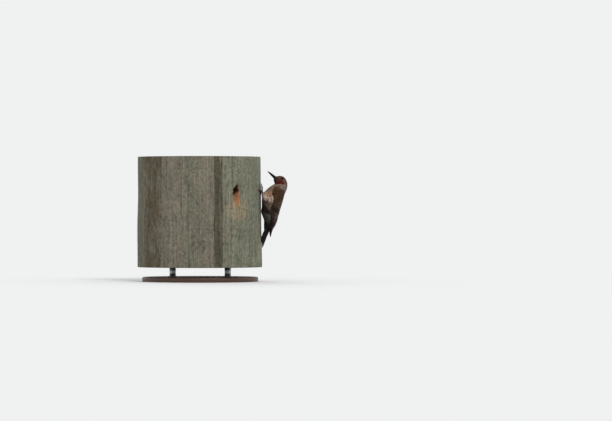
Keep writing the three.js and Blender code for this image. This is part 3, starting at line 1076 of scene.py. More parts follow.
def blend(ground: Array, over: Union[Hue, Array], amount: Array) -> Array:
    """Lays a hue, or other colours, over ground colours by an amount."""
    amount = np.clip(amount, 0, 1)[..., None]
    return ground * (1 - amount) + np.array(over.value if isinstance(over, Hue) else over) * amount


def flood(hue: Union[Hue, Colour], like: Array) -> Array:
    """One hue at every place of an array."""
    return blend(np.zeros((*np.shape(like), 3)), hue, np.ones(np.shape(like)))


def shades(hue: Hue, rng: Chance, low: float, high: float, count: int) -> Array:
    """One hue for each of some feathers, darker or lighter by chance."""
    return np.array(hue.value) * rng.uniform(low, high, (count, 1))


@dataclass
class Plumage:
    """Where each colour and marking lies on the body."""

    form: BodyForm

    def ground(self, along: Array, around: Array) -> Array:
        """The ground colour at each place, with painted shade on the throat, underparts and chest,
        painted light on the flanks by the wing, and a painted highlight on the upper breast.

        Args:
            along: Ring of the body form.
            around: Angle round it, 0 at the back.

        Returns:
            One linear colour for each place.
        """
        back = np.cos(around)  # 1 at the back, -1 at the belly
        tint = flood(Hue.MANTLE, along)
        wide = 0.14 + 0.26 * ease(6.5, 5.0, along) + 0.25 * ease(2.4, 1.4, along)
        under = ease(0.3 + wide, wide - 0.02, back)
        front = 1.9 * np.minimum(back + 0.72, 0)
        belly = flood(Hue.COVERT, along)
        for low, high, lean, hue in (
            (1.6, 2.8, 0.2, Hue.VENT), (3.95, 4.3, 0.1, Hue.BELLY), (5.15, 5.8, 0.9, Hue.FLANK),
            (6.25, 6.75, 0.35, Hue.BREAST_PALE), (7.35, 7.75, 0.35, Hue.BREAST),
            (8.2, 8.8, 0.35, Hue.SLOPE)):
            amount = ease(low, high, along + lean * (back + 0.6) + front)
            if hue is Hue.BREAST:
                amount = amount * (0.45 + 0.55 * ease(-0.75, -0.45, back))
            belly = blend(belly, hue, amount)
        belly = blend(belly, Hue.WING, 0.5 * ease(-0.45, 0.15, back) * ease(7.2, 7.7, along)
                      * ease(9.0, 8.5, along))
        # Painted light on the flanks beside the wing's front edge, and painted shade on the breast where
        # it faces the pole.
        side = ease(-0.1, 0.15, back) * ease(2.2, 3.2, along) * ease(6.2, 5.6, along)
        chest_shade = ease(-0.55, -0.85, back) * ease(6.5, 7.0, along) * ease(8.2, 7.6, along)
        belly = belly * (1 + 0.6 * side - 0.45 * chest_shade)[..., None]
        tint = blend(tint, belly, under)
        tint = blend(tint, Hue.RUMP, ease(4.4, 3.6, along) * ease(0.78, 0.9, back)
                     * ease(1.6, 2.4, along))
        tint = blend(tint, Hue.SHOULDER, ease(8.3, 9.0, along) * ease(-0.35, 0.1, back))
        edge = 0.14 + 0.5 * (10 - along)
        neck = ease(-0.1, 0.1, back - edge) * ease(8.0, 8.7, along)
        neck = blend(tint, Hue.NECK, np.maximum(neck, ease(11.2, 11.6, along)))
        neck = blend(neck, Hue.NAPE, ease(9.5, 10.5, along) * ease(0.75, 0.97, back))
        neck = blend(neck, Hue.THROAT, ease(10.8, 11.6, along) * ease(-0.3, -0.75, back))
        crescent = ease(8.9, 9.2, along) * ease(10.3, 9.9, along) * ease(-0.94, -0.97, back)
        neck = blend(neck, Hue.CRESCENT, crescent)
        cell = lattice_noise(around / TURN, along / 17, (34, 40), 77)
        return self._head(neck, along, around) * (1 + 0.2 * cell * ease(10.5, 8, along))[..., None]

    def _head(self, tint: Array, along: Array, around: Array) -> Array:
        """Lays the head's colours over the neck's.

        Args:
            tint: The colours so far.
            along: Ring of the body form.
            around: Angle round it, 0 at the back.

        Returns:
            The colours with the head's own.
        """
        forward, up, _ = self.form.head_measures(self.form.straight(along, around))
        face = flood(Hue.CHEEK, along)
        face = blend(face, Hue.EAR, ease(-1, -5, forward) * ease(-7, -3, up))
        face = blend(face, Hue.LORES, ease(-1, 5, forward) * ease(-6, -2, up))
        face = blend(face, Hue.CROWN, ease(7.5, 11.5, up + 0.12 * forward))
        face = blend(face, Hue.FOREHEAD, ease(8, 14, forward) * ease(-4, 0, up))
        face = blend(face, Hue.NAPE, ease(-8, -14, forward) * ease(2, 8, up))
        chin = ease(12.5, 15.5, forward) * ease(-2, -5, up)
        face = blend(face, Hue.THROAT, np.maximum(chin, ease(-13, -15, up - 0.15 * forward)))
        middle = -9.4 - 0.05 * forward
        height = 6.4 * np.sqrt(np.clip(1 - ((forward + 4) / 17) ** 2, 0, 1)) + 0.2
        malar = ease(1.35, 0.6, np.abs(up - middle) / height)
        halo = ease(1.9, 1.1, np.abs(up - middle - 1.5) / height) * ease(2, -2, up)
        face = blend(face, Hue.CHEEK_RED, 0.8 * halo)
        face = blend(face, Hue.MALAR, malar * ease(13, 9, forward) * ease(-20, -13, forward))
        return blend(tint, face, ease(10.75, 11.05, along))

    def marks(self, along: Array, around: Array, rng: Chance) -> Array:
        """How strongly each feather is spotted, barred and fringed.

        Args:
            along: Ring of the body form.
            around: Angle round it, 0 at the back.
            rng: Source of chance.

        Returns:
            Spot, bar and fringe for each place.
        """
        back = np.cos(around)
        under = ease(0.3, -0.02, back)
        body = ease(9.0, 8.3, along)
        spotted = 0.7 - 0.25 * ease(5.9, 6.4, along)
        spot = under * (rng.random(np.shape(along)) < spotted) * ease(8.4, 7.4, along)
        spot *= ease(1.6, 2.4, along)
        bar = (1 - under) * ease(9.9, 9.0, along) * ease(0.2, 1.0, along)
        bar = np.maximum(bar, ease(3.0, 2.0, along))
        fringe = 0.35 + 0.3 * body
        return np.stack([spot, bar, fringe * np.ones_like(spot)], -1)


@dataclass(frozen=True)
class FeatherFinish:
    """Finish of feathers: ground colour from the mesh, with bars, spot, shaft and barbs."""

    name: str
    bars: float = 2.0
    pitch: float = 0.0
    barbs: float = 30.0
    slant: float = 3.0
    spot_size: float = 0.36
    spot_at: float = 0.72
    shaft: Hue = Hue.BAR
    shaft_width: float = 0.05
    shaft_amount: float = 0.35
    under: Hue = Hue.WING
    tip_shade: float = 0.0
    shade_from: float = 0.35
    shade_to: float = 0.85
    roughness: float = 0.72
    relief: float = 0.2

    def material(self) -> Look:
        """Builds the material.

        Bars are a sine down the vane, or down the bird where a pitch in mm is given, so that the
        bars of neighbours meet. The spot is a soft ellipse near the tip, and the barbs are fine
        stripes that slant from the shaft.

        Returns:
            The finished material.
        """
        r = Recipe(self.name)
        tint = r.attribute("tint", "Color")
        under = r.attribute("tint", "Alpha")
        across, down, seed = r.split(r.attribute("vane"))
        spot, bar, fringe = r.split(r.attribute("marks"))
        side = abs(across)
        patchy = r.noise(r.place(), 420, 3)
        fine = r.noise(r.place(), 1900, 2)
        barbs = ((down * self.barbs - side * self.slant + seed * 3) * TURN).sine()
        light = 0.6 + patchy * 0.42 + fine * 0.34 + barbs * 0.06 + (seed - 0.5) * 0.12
        if self.tip_shade:
            light = light * (1 - down.step(self.shade_from, self.shade_to) * self.tip_shade)
        colour = r.brightened(tint, light)
        edge = side.highest(down).step(0.72, 1.0)
        colour = r.mix(edge * fringe * (0.2 + fine * 0.5), colour, r.brightened(tint, 1.45))
        step = down * self.bars
        if self.pitch:
            step = r.split(r.place())[2] / (self.pitch * MM) + seed * 0.3
        wave = ((step + (patchy - 0.5) * 0.55 + side * 0.16 + 0.3) * TURN).sine()
        colour = r.mix(wave.step(0.05, 0.55) * bar * 0.86, colour, Hue.BAR.value)
        round_spot = ((across * 0.95) ** 2 + ((down - self.spot_at) * 1.5) ** 2) ** 0.5
        blot = 1 - (round_spot + (patchy - 0.5) * 0.2).step(self.spot_size - 0.07, self.spot_size + 0.05)
        colour = r.mix(blot * spot, colour, Hue.SPOT.value)
        quill = (1 - side.step(self.shaft_width * 0.6, self.shaft_width * 1.4)) * self.shaft_amount
        colour = r.mix(quill, colour, self.shaft.value)
        colour = r.mix(under * (1 - down.step(0.75, 0.9)), colour, self.under.value)
        height = barbs * 0.5 + fine * 0.5
        normal = r.bump(height, self.relief, 0.00012)
        rough = self.roughness + patchy * 0.12
        return r.close(colour, rough, normal, Specular_IOR_Level=0.1)


@dataclass
class BodyCoat:
    """The small feathers of head, neck, trunk and thighs."""

    form: BodyForm
    plumage: Plumage
    wings: Dict[Side, WingForm]
    seed: int = 7
    spacing_rows: Values = (0, 3, 6, 8, 9, 10, 11, 12, 13, 15, 16, 17)
    spacings: Values = (2.5, 2.7, 2.8, 2.6, 2.2, 1.8, 1.5, 1.3, 1.12, 0.95, 0.85, 0.8)
    depth_rows: Values = (0, 2, 6, 9, 12, 14, 16, 17)
    depths: Values = (2.2, 3.2, 4.2, 4, 2.8, 2.1, 1.4, 0.8)
    eye_clear: float = 4.15  # radius round the eye that stays free of feathers
    eye_out: float = 13.0  # how far out feathers are trimmed round it, and parted round it
    part_out: float = 12.5

    def coat_depth(self, along: Array) -> Array:
        """How far the skin lies under the outline."""
        return np.interp(along, self.depth_rows, self.depths)

    def covered(self, along: Array, around: Array) -> Pair:
        """How far each place lies under a folded wing, and how high it laps over its front edge.

        Args:
            along: Ring of the body form.
            around: Angle round it.

        Returns:
            How far it is under a wing, 0 to 1, and how many mm it rises over the wing's edge.
        """
        place = self.form.point(along, around)
        hidden, lap = np.zeros((2, *np.shape(along)))
        for side, wing in self.wings.items():
            arc, share = wing.locate(place)
            near = place[..., 1] * side.value > 0
            swell = wing.swell(arc)
            share = share + wing.swelling * swell
            under = ease(0.0, 0.14, share) * ease(1.04, 0.9, share) * ease(0.0, 0.4, arc)
            hidden = np.maximum(hidden, under * near)
            edge = ease(0.86, 0.98, share) * ease(1.35, 1.1, share)
            edge = edge * ease(-0.6, 0.4, arc) * ease(8.8, 7.8, arc) * near
            lap = np.maximum(lap, edge * (1.5 + 2.2 * swell))
        return hidden, lap

    def _spacing(self, along: Array, around: Array) -> Array:
        """Distance between roots, wider under the wings."""
        face = 1 - 0.14 * ease(13, 15, along) * ease(0.3, -0.5, np.cos(around))
        return np.interp(along, self.spacing_rows, self.spacings) * face * (
            1 + 0.55 * self.covered(along, around)[0])

    def _lie(self, along: Array, around: Array) -> Array:
        """Feathers point to the tail, and part round the eyes."""
        _, ahead, _, _ = self.form.basis(along, around)
        lie = unit(-ahead)
        for left in (1, -1):
            eye = self.form.in_head(*self.form.eye, left * self.part_out)
            away = self.form.point(along, around) - eye
            distance = np.linalg.norm(away, axis=-1, keepdims=True)
            lie = lie + 0.9 * unit(away) * np.exp(-(distance / 6.0) ** 2) * (along > 12)[..., None]
        return unit(lie)

    def _trim_round_eyes(self, along: Array, around: Array, lie: Array, length: Array) -> Array:
        """Shortens each head feather that would reach over an eye.

        Args:
            along: Ring of each root.
            around: Angle of each root.
            lie: Direction of each feather.
            length: Its full length.

        Returns:
            The allowed length; it is 0 where a root stands in the eye itself.
        """
        root = self.form.point(along, around)
        allowed = length.copy()
        for left in (1, -1):
            offset = root - self.form.in_head(*self.form.eye, left * self.eye_out)
            near = np.linalg.norm(offset, axis=-1)
            toward = -np.sum(offset * lie, -1)
            miss = np.sqrt(np.maximum(near ** 2 - toward ** 2, 0))
            enter = toward - np.sqrt(np.maximum(self.eye_clear ** 2 - miss ** 2, 0))
            meets = (miss < self.eye_clear) & (toward > 0) & (near < 14)
            allowed = np.where(meets, np.minimum(allowed, enter), allowed)
            allowed = np.where(near < self.eye_clear, 0, allowed)
        return allowed

    def build(self) -> None:
        """Lays all the feathers of the body, region by region."""
        rng = np.random.default_rng(self.seed)
        finish = FeatherFinish("body_feathers").material()
        head_finish = FeatherFinish("head_feathers", barbs=12, shaft_amount=0.1,
                                    roughness=0.78).material()
        bulk = VaneCut()
        middle = VaneCut(columns=7, rows=5, root=0.55, camber=0.05, thick=0.06, fray=0.05)
        fine = VaneCut(columns=7, rows=4, root=0.6, camber=0.03, thick=0.05, fray=0.07)
        behind = (-math.pi / 2, math.pi / 2)
        before = (math.pi / 2, 3 * math.pi / 2)
        for name, rows, angles, cut, slot, look in (
            ("back", (0.0, 9.2), behind, bulk, "body_plumage", finish),
            ("breast", (0.0, 9.2), before, bulk, "body_plumage", finish),
            ("neck", (9.2, 12.2), (0, TURN), middle, "head_plumage", head_finish),
            ("head", (12.2, 17.0), (0, TURN), fine, "head_plumage", head_finish)):
            self._region(f"{name}_feathers", rows, angles, cut, rng, slot, look)

    def _region(self, name: str, rows: Span, angles: Span,
                cut: VaneCut, rng: Chance, slot: str, look: Look) -> None:
        """Lays the feathers of one region.

        Args:
            name: The piece's name.
            rows: Range of rings.
            angles: Range of angles.
            cut: How its feathers are cut.
            rng: Source of chance.
            slot: The record's material slot; not used.
            look: The material.
        """
        along, around = scatter(self.form, rows, angles, self._spacing, rng)
        gap = self._spacing(along, around)
        lie = self._lie(along, around)
        length = gap * rng.uniform(2.8, 3.8, len(gap))
        if rows[0] > 12:
            length = self._trim_round_eyes(along, around, lie, length)
        kept = length > 0.5 * gap
        along, around, gap, lie, length = (v[kept] for v in (along, around, gap, lie, length))
        lie = lie + 0.17 * rng.normal(size=lie.shape)
        half = gap * rng.uniform(0.72, 0.95, len(gap))
        depth = self.coat_depth(along)
        hidden, lap = self.covered(along, around)
        proud = 1.4 * ease(2.0, 1.0, along) * ease(-0.4, -0.8, np.cos(around))
        sink = TUCK * hidden - lap - proud
        lifts = (-0.7 * depth - sink, 0.018 * depth * rng.normal(size=len(gap)) - sink)
        laid = lay_vanes(self.form, along, around, lie, length, half, lifts, cut, rng)
        tint = self.plumage.ground(along, around) * rng.uniform(0.82, 1.18, (len(gap), 1))
        root = np.stack([(around - angles[0]) / (angles[1] - angles[0]),
                         (along - rows[0]) / (rows[1] - rows[0])], -1)
        coat = Coat()
        coat.add_vanes(cut, laid, rng.random(len(gap)), tint,
                       self.plumage.marks(along, around, rng), root)
        coat.build(name, slot, look)


# -------- skin

@dataclass
class Skin:
    """The one skin of head, neck, trunk and thighs, under the coat."""

    form: BodyForm
    coat: BodyCoat
    thighs: Dict[Side, TubeForm]
    rings: int = 120
    sides: int = 96
    voxel: float = 1.3
    thigh_coat: float = 1.6

    def build(self) -> None:
        """Joins the loft of the body and both thighs into one closed skin."""
        along, around = grid(np.linspace(0.1, 17, self.rings), round_steps(self.sides))
        depth = self.coat.coat_depth(along) + 3.0 * self.coat.covered(along, around)[0]
        parts = [closed_form(self.form.lifted(along, around, -depth))]
        for thigh in self.thighs.values():
            slim = TubeForm(thigh.path - np.array([0, 0, 0, self.thigh_coat]))
            a, b = grid(np.linspace(0, len(slim.path) - 1, 24), round_steps(32))
            parts.append(closed_form(slim.point(a, b)))
        raw = bird_piece("skin", joined(parts), self._material(),
                         ("trunk", "neck", "head", "thigh_left", "thigh_right"))
        remesh = raw.modifiers.new("one_skin", "REMESH")
        remesh.mode = "VOXEL"
        remesh.voxel_size = self.voxel * MM
        remesh.use_smooth_shade = True
        bpy.context.view_layer.update()
        graph = bpy.context.evaluated_depsgraph_get()
        whole = bpy.data.meshes.new_from_object(raw.evaluated_get(graph))
        raw.modifiers.clear()
        raw.data = whole
        self._colour(raw, along, around)

    def _colour(self, piece: Piece, along: Array, around: Array) -> None:
        """Gives each point of the skin the plumage's colour at the nearest place of the outline.

        Args:
            piece: The skin.
            along: Rings of the outline.
            around: Angles round it.
        """
        a, b = along.ravel(), around.ravel()
        guide = on_pole(self.form.point(a, b)) * MM
        places = np.empty(3 * len(piece.data.vertices))
        piece.data.vertices.foreach_get("co", places)
        nearest = np.concatenate([
            np.argmin(np.sum(guide ** 2, 1) - 2 * block @ guide.T, axis=1)
            for block in np.array_split(places.reshape(-1, 3), 40)])
        rng = np.random.default_rng(3)
        tint = self.coat.plumage.ground(a, b)[nearest]
        marks = self.coat.plumage.marks(a, b, rng)[nearest]
        tint = blend(tint, Hue.SPOT, np.maximum(marks[:, 0] * 0.5, marks[:, 1] * 0.4))
        add_attribute(piece, "tint", np.hstack([tint, np.ones((len(tint), 1))]))

    @staticmethod
    def _material() -> Look:
        """Skin in the coat's own colours, a little darker, with a fine grain."""
        r = Recipe("skin")
        grain = r.noise(r.place(), 900, 4)
        colour = r.brightened(r.attribute("tint", "Color"), 0.6 + grain * 0.3)
        return r.close(colour, 0.8, r.bump(grain, 0.4, 0.0003), Specular_IOR_Level=0.2)


# -------- wings

@dataclass(frozen=True)
class QuillRow:
    """A row of long feathers, from the outermost inwards.

    Values hold one number for each feather, or the first number and its change up to the last.
    The feathers take on the second hue by an amount that is eased in between two shares of the row.
    """

    count: int
    roots: Tuple[Values, Values]  # arc, share of it
    tips: Tuple[Values, Values]
    half: Values
    lifts: Tuple[Values, Values]
    cut: QuillCut
    hues: Tuple[Hue, Hue]
    worn: Tuple[float, float, float]  # amount, and the shares where it sets in and is full
    bars: float
    bow: float = 0.0

    def spread(self, values: Values) -> Array:
        """One number for each feather."""
        if len(values) == self.count:
            return np.array(values)
        return values[0] + values[1] * (np.arange(self.count) / (self.count - 1))

    def places(self, values: Tuple[Values, Values]) -> Array:
        """Both parameters for each feather."""
        return np.stack([self.spread(values[0]), self.spread(values[1])], -1)

    def tint(self) -> Array:
        """The ground colour of each feather."""
        amount, low, high = self.worn
        ground, worn = self.hues
        return blend(np.array(ground.value), worn, amount * ease(low, high, self.spread((0, 1))))


PRIMARIES = QuillRow(
    7, ((3.4, 0), (0.93, -0.2)), ((10.3, 10.75, 11.0, 10.9, 10.5, 10.0, 9.6), (0.8, -0.34)),
    (5.3, 1.2), ((-2.3, 0.7), (-0.9, 0.6)),
    QuillCut(rows=56, tip_from=0.9, point=0.52, outer_web=0.5, tilt=0.4),
    (Hue.PRIMARY, Hue.FLANK), (0.35, 0.5, 0), bars=0.35, bow=0.02)
SECONDARIES = QuillRow(
    10, ((4.0, 0.1), (0.81, -0.73)),
    ((9.0, 9.05, 9.1, 9.15, 9.2, 9.1, 8.9, 8.5, 8.0, 7.3), (0.64, -0.53)),
    (6.4, 1.4), ((-1.4, 0.6), (-1.0, 0.7)),
    QuillCut(rows=50, tip_from=0.84, point=0.5, outer_web=0.7, tilt=0.7),
    (Hue.WING_LOW, Hue.TERTIAL), (1.0, 0.25, 0.75), bars=0.75)
GREATER_COVERTS = QuillRow(
    10, ((2.7, 0), (0.84, -0.74)), ((5.5, 0.35), (0.76, -0.65)), (5.4, 0.8), ((-1.0, 0.3), (-0.2, 0.35)),
    QuillCut(rows=26, tip_from=0.8, point=0.5, outer_web=0.85, tilt=0.5, thick=0.18),
    (Hue.WING, Hue.TERTIAL), (0.55, 0.45, 1), bars=0.9)
PRIMARY_COVERTS = QuillRow(
    5, ((2.0, 0), (0.91, -0.12)), ((5.1, 0.2), (0.92, -0.16)), (3.6, 0), ((-2.9, 0.7), (-1.5, 0.5)),
    QuillCut(rows=24, tip_from=0.8, point=0.6, outer_web=0.6, tilt=0.3, thick=0.18),
    (Hue.PRIMARY, Hue.FLANK), (0.55, -1, 0), bars=0.3)
ALULA = QuillRow(
    3, ((1.5, 0), (0.9, -0.06)), ((3.9, -0.4), (0.91, -0.07)), (3.2, 0), ((-2.9, 0.5), (-1.7, 0.5)),
    QuillCut(rows=20, tip_from=0.8, point=0.6, outer_web=0.6, tilt=0.3, thick=0.18),
    (Hue.PRIMARY, Hue.PRIMARY), (0, 0, 1), bars=0.4)


@dataclass
class Wing:
    """One folded wing: a dark sheet of painted shade under its feathers, its coverts and its flight
    feathers.
    """

    side: Side
    form: WingForm
    seed: int = 21

    def build(self) -> None:
        """Makes the sheet of painted shade, the small coverts, the primaries and the secondaries."""
        rng = np.random.default_rng(self.seed + self.side.value)
        looks = dict(bars=7.0, barbs=60, slant=4, shaft=Hue.RED_SHAFT, shaft_amount=0.5,
                     under=Hue.SALMON, tip_shade=0.85, roughness=0.6)
        self._bed()
        self._small_coverts(rng)
        self._quills(rng, "primaries", (PRIMARIES, PRIMARY_COVERTS, ALULA),
                     FeatherFinish("wing_primaries", shade_from=0.2, shade_to=0.5, **looks))
        self._quills(rng, "secondaries", (SECONDARIES, GREATER_COVERTS),
                     FeatherFinish("wing_secondaries", shade_from=0.5, shade_to=0.8, **looks))

    def _bed(self) -> None:
        """A thin closed dark shell under the feathers, along the inside of the wing's face: painted
        shade under and between them.
        """
        along, share = grid(np.linspace(0.25, 7.6, 60), np.linspace(0.06, 0.88, 18))
        deep = -0.85 * read_table(self.form.arcs, along)[..., 6]
        top, under = (self.form.lifted(along, share, deep - thick) for thick in (0, 0.5))
        bird_piece(f"wing_{self.side.word}_bed",
                   closed_form(np.concatenate([top, under[:, ::-1]], axis=1)),
                   GrainFinish("wing_shade_sheet", srgb(52, 38, 30), srgb(84, 60, 46), 500).material())

    def _small_coverts(self, rng: Chance) -> None:
        """Lays lesser and median coverts and scapulars, scattered, pointing down the wing.

        Args:
            rng: Source of chance.
        """
        def spacing(along: Array, share: Array) -> Array:
            """Distance between roots."""
            return 1.9 + 0.42 * np.clip(along, 0, 4)
        coat = Coat()
        cut = VaneCut(rows=7)
        for low, high, inner, outer, raise_by in (
            (0.05, 3.1, 0.0, 0.95, 0.0), (0.9, 5.2, -0.35, 0.16, 0.45)):
            along, share = scatter(self.form, (low, high), (inner, outer), spacing, rng, 8000)
            gap = spacing(along, share)
            _, ahead, _, _ = self.form.basis(along, share)
            lie = unit(ahead) + 0.13 * rng.normal(size=(len(gap), 3))
            length = gap * rng.uniform(2.6, 3.5, len(gap))
            half = gap * rng.uniform(0.78, 1.0, len(gap))
            edge = share + self.form.swelling * self.form.swell(along)
            tucked = TUCK * ease(0.76, 0.98, edge) + 1.8 * ease(0.7, 0.0, along)
            raised = raise_by - tucked
            lifts = (-1.8 + raised, 0.1 + raised + 0.07 * rng.normal(size=len(gap)))
            laid = lay_vanes(self.form, along, share, lie, length, half, lifts, cut, rng)
            tint = shades(Hue.WING, rng, 0.76, 1.24, len(gap))
            tint = blend(tint, Hue.SHOULDER, np.maximum(
                ease(1.0, 0.1, along), ease(0.76, 0.95, share) * ease(2.4, 1.2, along)))
            tint = blend(tint, Hue.TERTIAL, np.maximum(
                ease(3.0, 4.6, along), 0.6 * ease(0.5, 0.1, share) * ease(2.2, 3.2, along)))
            tint = blend(tint, Hue.SHOULDER, 0.7 * ease(0.5, 0.8, share) * ease(2.0, 2.8, along))
            marks = np.stack([0 * gap, 0.4 + 0.5 * ease(1.4, 2.8, along), 0.4 + 0 * gap], -1)
            root = np.stack([(share + 0.35) / 1.35, along / 5.2], -1)
            coat.add_vanes(cut, laid, rng.random(len(gap)), tint, marks, root)
        coat.build(f"wing_{self.side.word}_small_coverts", "wing_feathers",
                   FeatherFinish("wing_coverts", pitch=6.6, barbs=34).material(),
                   (f"wing_{self.side.word}_coverts",))

    def _quills(self, rng: Chance, name: str, rows: Sequence[QuillRow], finish: FeatherFinish) -> None:
        """Makes one piece of long feathers.

        Args:
            rng: Source of chance.
            name: The piece's name after the wing's.
            rows: The rows of feathers in it.
            finish: Its finish.
        """
        coat = Coat()
        for row in rows:
            lift_root, lift_tip = (row.spread(lift) for lift in row.lifts)
            laid = lay_quills(self.form, row.places(row.roots), row.places(row.tips),
                              row.spread(row.half), (lift_root, lift_tip), row.cut, rng, bow=row.bow)
            marks = np.tile([0, row.bars, 0.6], (row.count, 1))
            tint = row.tint() * rng.uniform(0.88, 1.12, (row.count, 1))
            coat.add_slabs(laid, rng.random(row.count), tint, marks)
        coat.build(f"wing_{self.side.word}_{name}", "wing_feathers", finish.material(),
                   (f"wing_{self.side.word}_flight",))


# -------- tail

@dataclass
class Tail:
    """The stiff tail that props the bird."""

    form: TailForm = TailForm()
    seed: int = 31

    def build(self) -> None:
        """Makes five pairs of pointed quills, the middle pair longest and on top."""
        rng = np.random.default_rng(self.seed)
        pair = np.arange(5)
        ends = np.array([7.0, 6.75, 6.3, 5.7, 4.9])
        tips_share = np.array([0.22, 0.5, 0.62, 0.68, 0.8])
        root_share = np.array([0.16, 0.36, 0.54, 0.7, 0.84])
        half = np.array([7.2, 6.2, 5.5, 4.9, 4.4])
        cut = QuillCut(rows=56, root=0.7, widest=0.35, tip_from=0.58, point=1.35,
                       outer_web=0.8, tilt=0.35, shaft=0.55, thick=0.45)
        coat = Coat()
        for sign in (-1, 1):
            roots = np.stack([np.full(5, -0.4), sign * root_share], -1)
            tips = np.stack([ends, sign * tips_share], -1)
            lifts = (-0.45 * pair + 0.1 * sign, 0.15 - 0.42 * pair + 0.1 * sign)
            laid = lay_quills(self.form, roots, tips, half, lifts, cut, rng, outer=sign)
            tint = shades(Hue.TAIL, rng, 0.85, 1.2, 5)
            coat.add_slabs(laid, rng.random(5), tint, np.tile([0, 0, 0.3], (5, 1)))
        finish = FeatherFinish("tail_quills", bars=6, barbs=70, slant=5, shaft=Hue.SPOT,
                               shaft_width=0.08, shaft_amount=0.6, under=Hue.SALMON, roughness=0.55)
        coat.build("tail_quills", "tail_feathers", finish.material(), ("tail",))


# -------- bill and eyes

@dataclass
class Bill:
    """The two halves of the bill, in the head's own frame."""

    form: BodyForm
    gap: float = 0.3
    rings: int = 40
    rows: Table = (
        # forward, ridge, cutting edge, underside, half width
        (21.5, 2.6, -3.1, -8.2, 5.0),
        (24.9, 2.6, -3.0, -7.9, 4.6),
        (29, 2.7, -2.8, -7.3, 4.2),
        (34, 2.6, -2.5, -6.5, 3.7),
        (40, 2.2, -2.2, -5.6, 3.2),
        (46, 1.5, -1.9, -4.6, 2.6),
        (52, 0.4, -1.7, -3.5, 1.8),
        (57, -1.2, -1.8, -2.6, 0.6),
    )

    def build(self) -> None:
        """Makes both halves."""
        self._half("bill_upper", True)
        self._half("bill_lower", False)

    def _half(self, node: str, upper: bool) -> None:
        """Makes one half: an arch from edge to edge of the bill over a flat cutting face.

        Args:
            node: The CAD node that it stands for.
            upper: True for the upper half.
        """
        at = np.linspace(0, len(self.rows) - 1, self.rings)[:, None]
        forward, ridge, cut, under, half = np.moveaxis(read_table(self.rows, at), -1, 0)
        arch = np.linspace(0, math.pi, 21)[None, :]
        seam = cut + (0.5 if upper else -0.5) * self.gap
        outer = ridge if upper else under
        rise = np.sin(arch) ** 0.85
        keel = 1 + 0.06 * np.exp(-((arch - math.pi / 2) / 0.16) ** 2)
        up = seam + (outer - seam) * rise * keel
        left = half * np.cos(arch) * (1 - 0.12 * rise)
        inner = np.array([-0.6, -0.2, 0.2, 0.6])[None, :]
        up = np.concatenate([up, seam + 0 * inner], 1)
        left = np.concatenate([left, half * inner], 1)
        shape = closed_form(self.form.in_head(forward, up, left))
        bird_piece(node + "_horn", shape, self._material(), (node,))

    @staticmethod
    def _material() -> Look:
        """Slate-black horn, faintly streaked and worn paler in places."""
        r = Recipe("bill_horn")
        streak = r.noise(r.place(), 700, 4)
        cloud = r.noise(r.place(), 130, 2)
        colour = r.mix(cloud * 0.7 + streak * 0.3, srgb(5, 5, 5), srgb(22, 20, 19))
        return r.close(colour, 0.5 + streak * 0.18, r.bump(streak, 0.15, 0.0001),
                       Specular_IOR_Level=0.12)


@dataclass
class Bristles:
    """Fine forward bristles over the nostrils."""

    form: BodyForm
    count: int = 22
    seed: int = 43

    def build(self) -> None:
        """Makes thin barbs that taper from the bill's base along both sides of the ridge."""
        rng = np.random.default_rng(self.seed)
        n = self.count * 2
        sign = np.where(np.arange(n) % 2, 1.0, -1.0)
        forward, up = rng.uniform(22.4, 24.8, n), rng.uniform(-2.6, 1.9, n)
        length, lean = rng.uniform(3.5, 6.5, n), rng.normal(0, 0.12, n)
        down, turn = grid(np.linspace(0, 1, 6), round_steps(4))
        thick = 0.2 * (1 - down) ** 0.7 + 0.02
        coat = Coat()
        for i in range(n):
            out = 4.9 - 0.75 * abs(up[i] + 1.2) + 0.1 - 0.11 * down * length[i]
            ahead = forward[i] + length[i] * down
            high = up[i] + lean[i] * length[i] * down + thick * np.cos(turn)
            left = sign[i] * (out + 0.35 * np.sin(math.pi * down) + thick * np.sin(turn))
            shape = closed_form(self.form.in_head(ahead, high, left))
            points = np.zeros((1, len(shape[0])))
            tint = shades(Hue.FOREHEAD, rng, 0.5, 0.9, 1)
            coat.parts.append(shape)
            coat.note(points, points + 0.5, rng.random(1), tint, np.zeros((1, 3)),
                      np.full((*points.shape, 2), 0.01 + 0.98 * i / n))
        finish = FeatherFinish("bristles", shaft_amount=0.0, relief=0.1)
        coat.build("nostril_bristles", "head_plumage", finish.material())


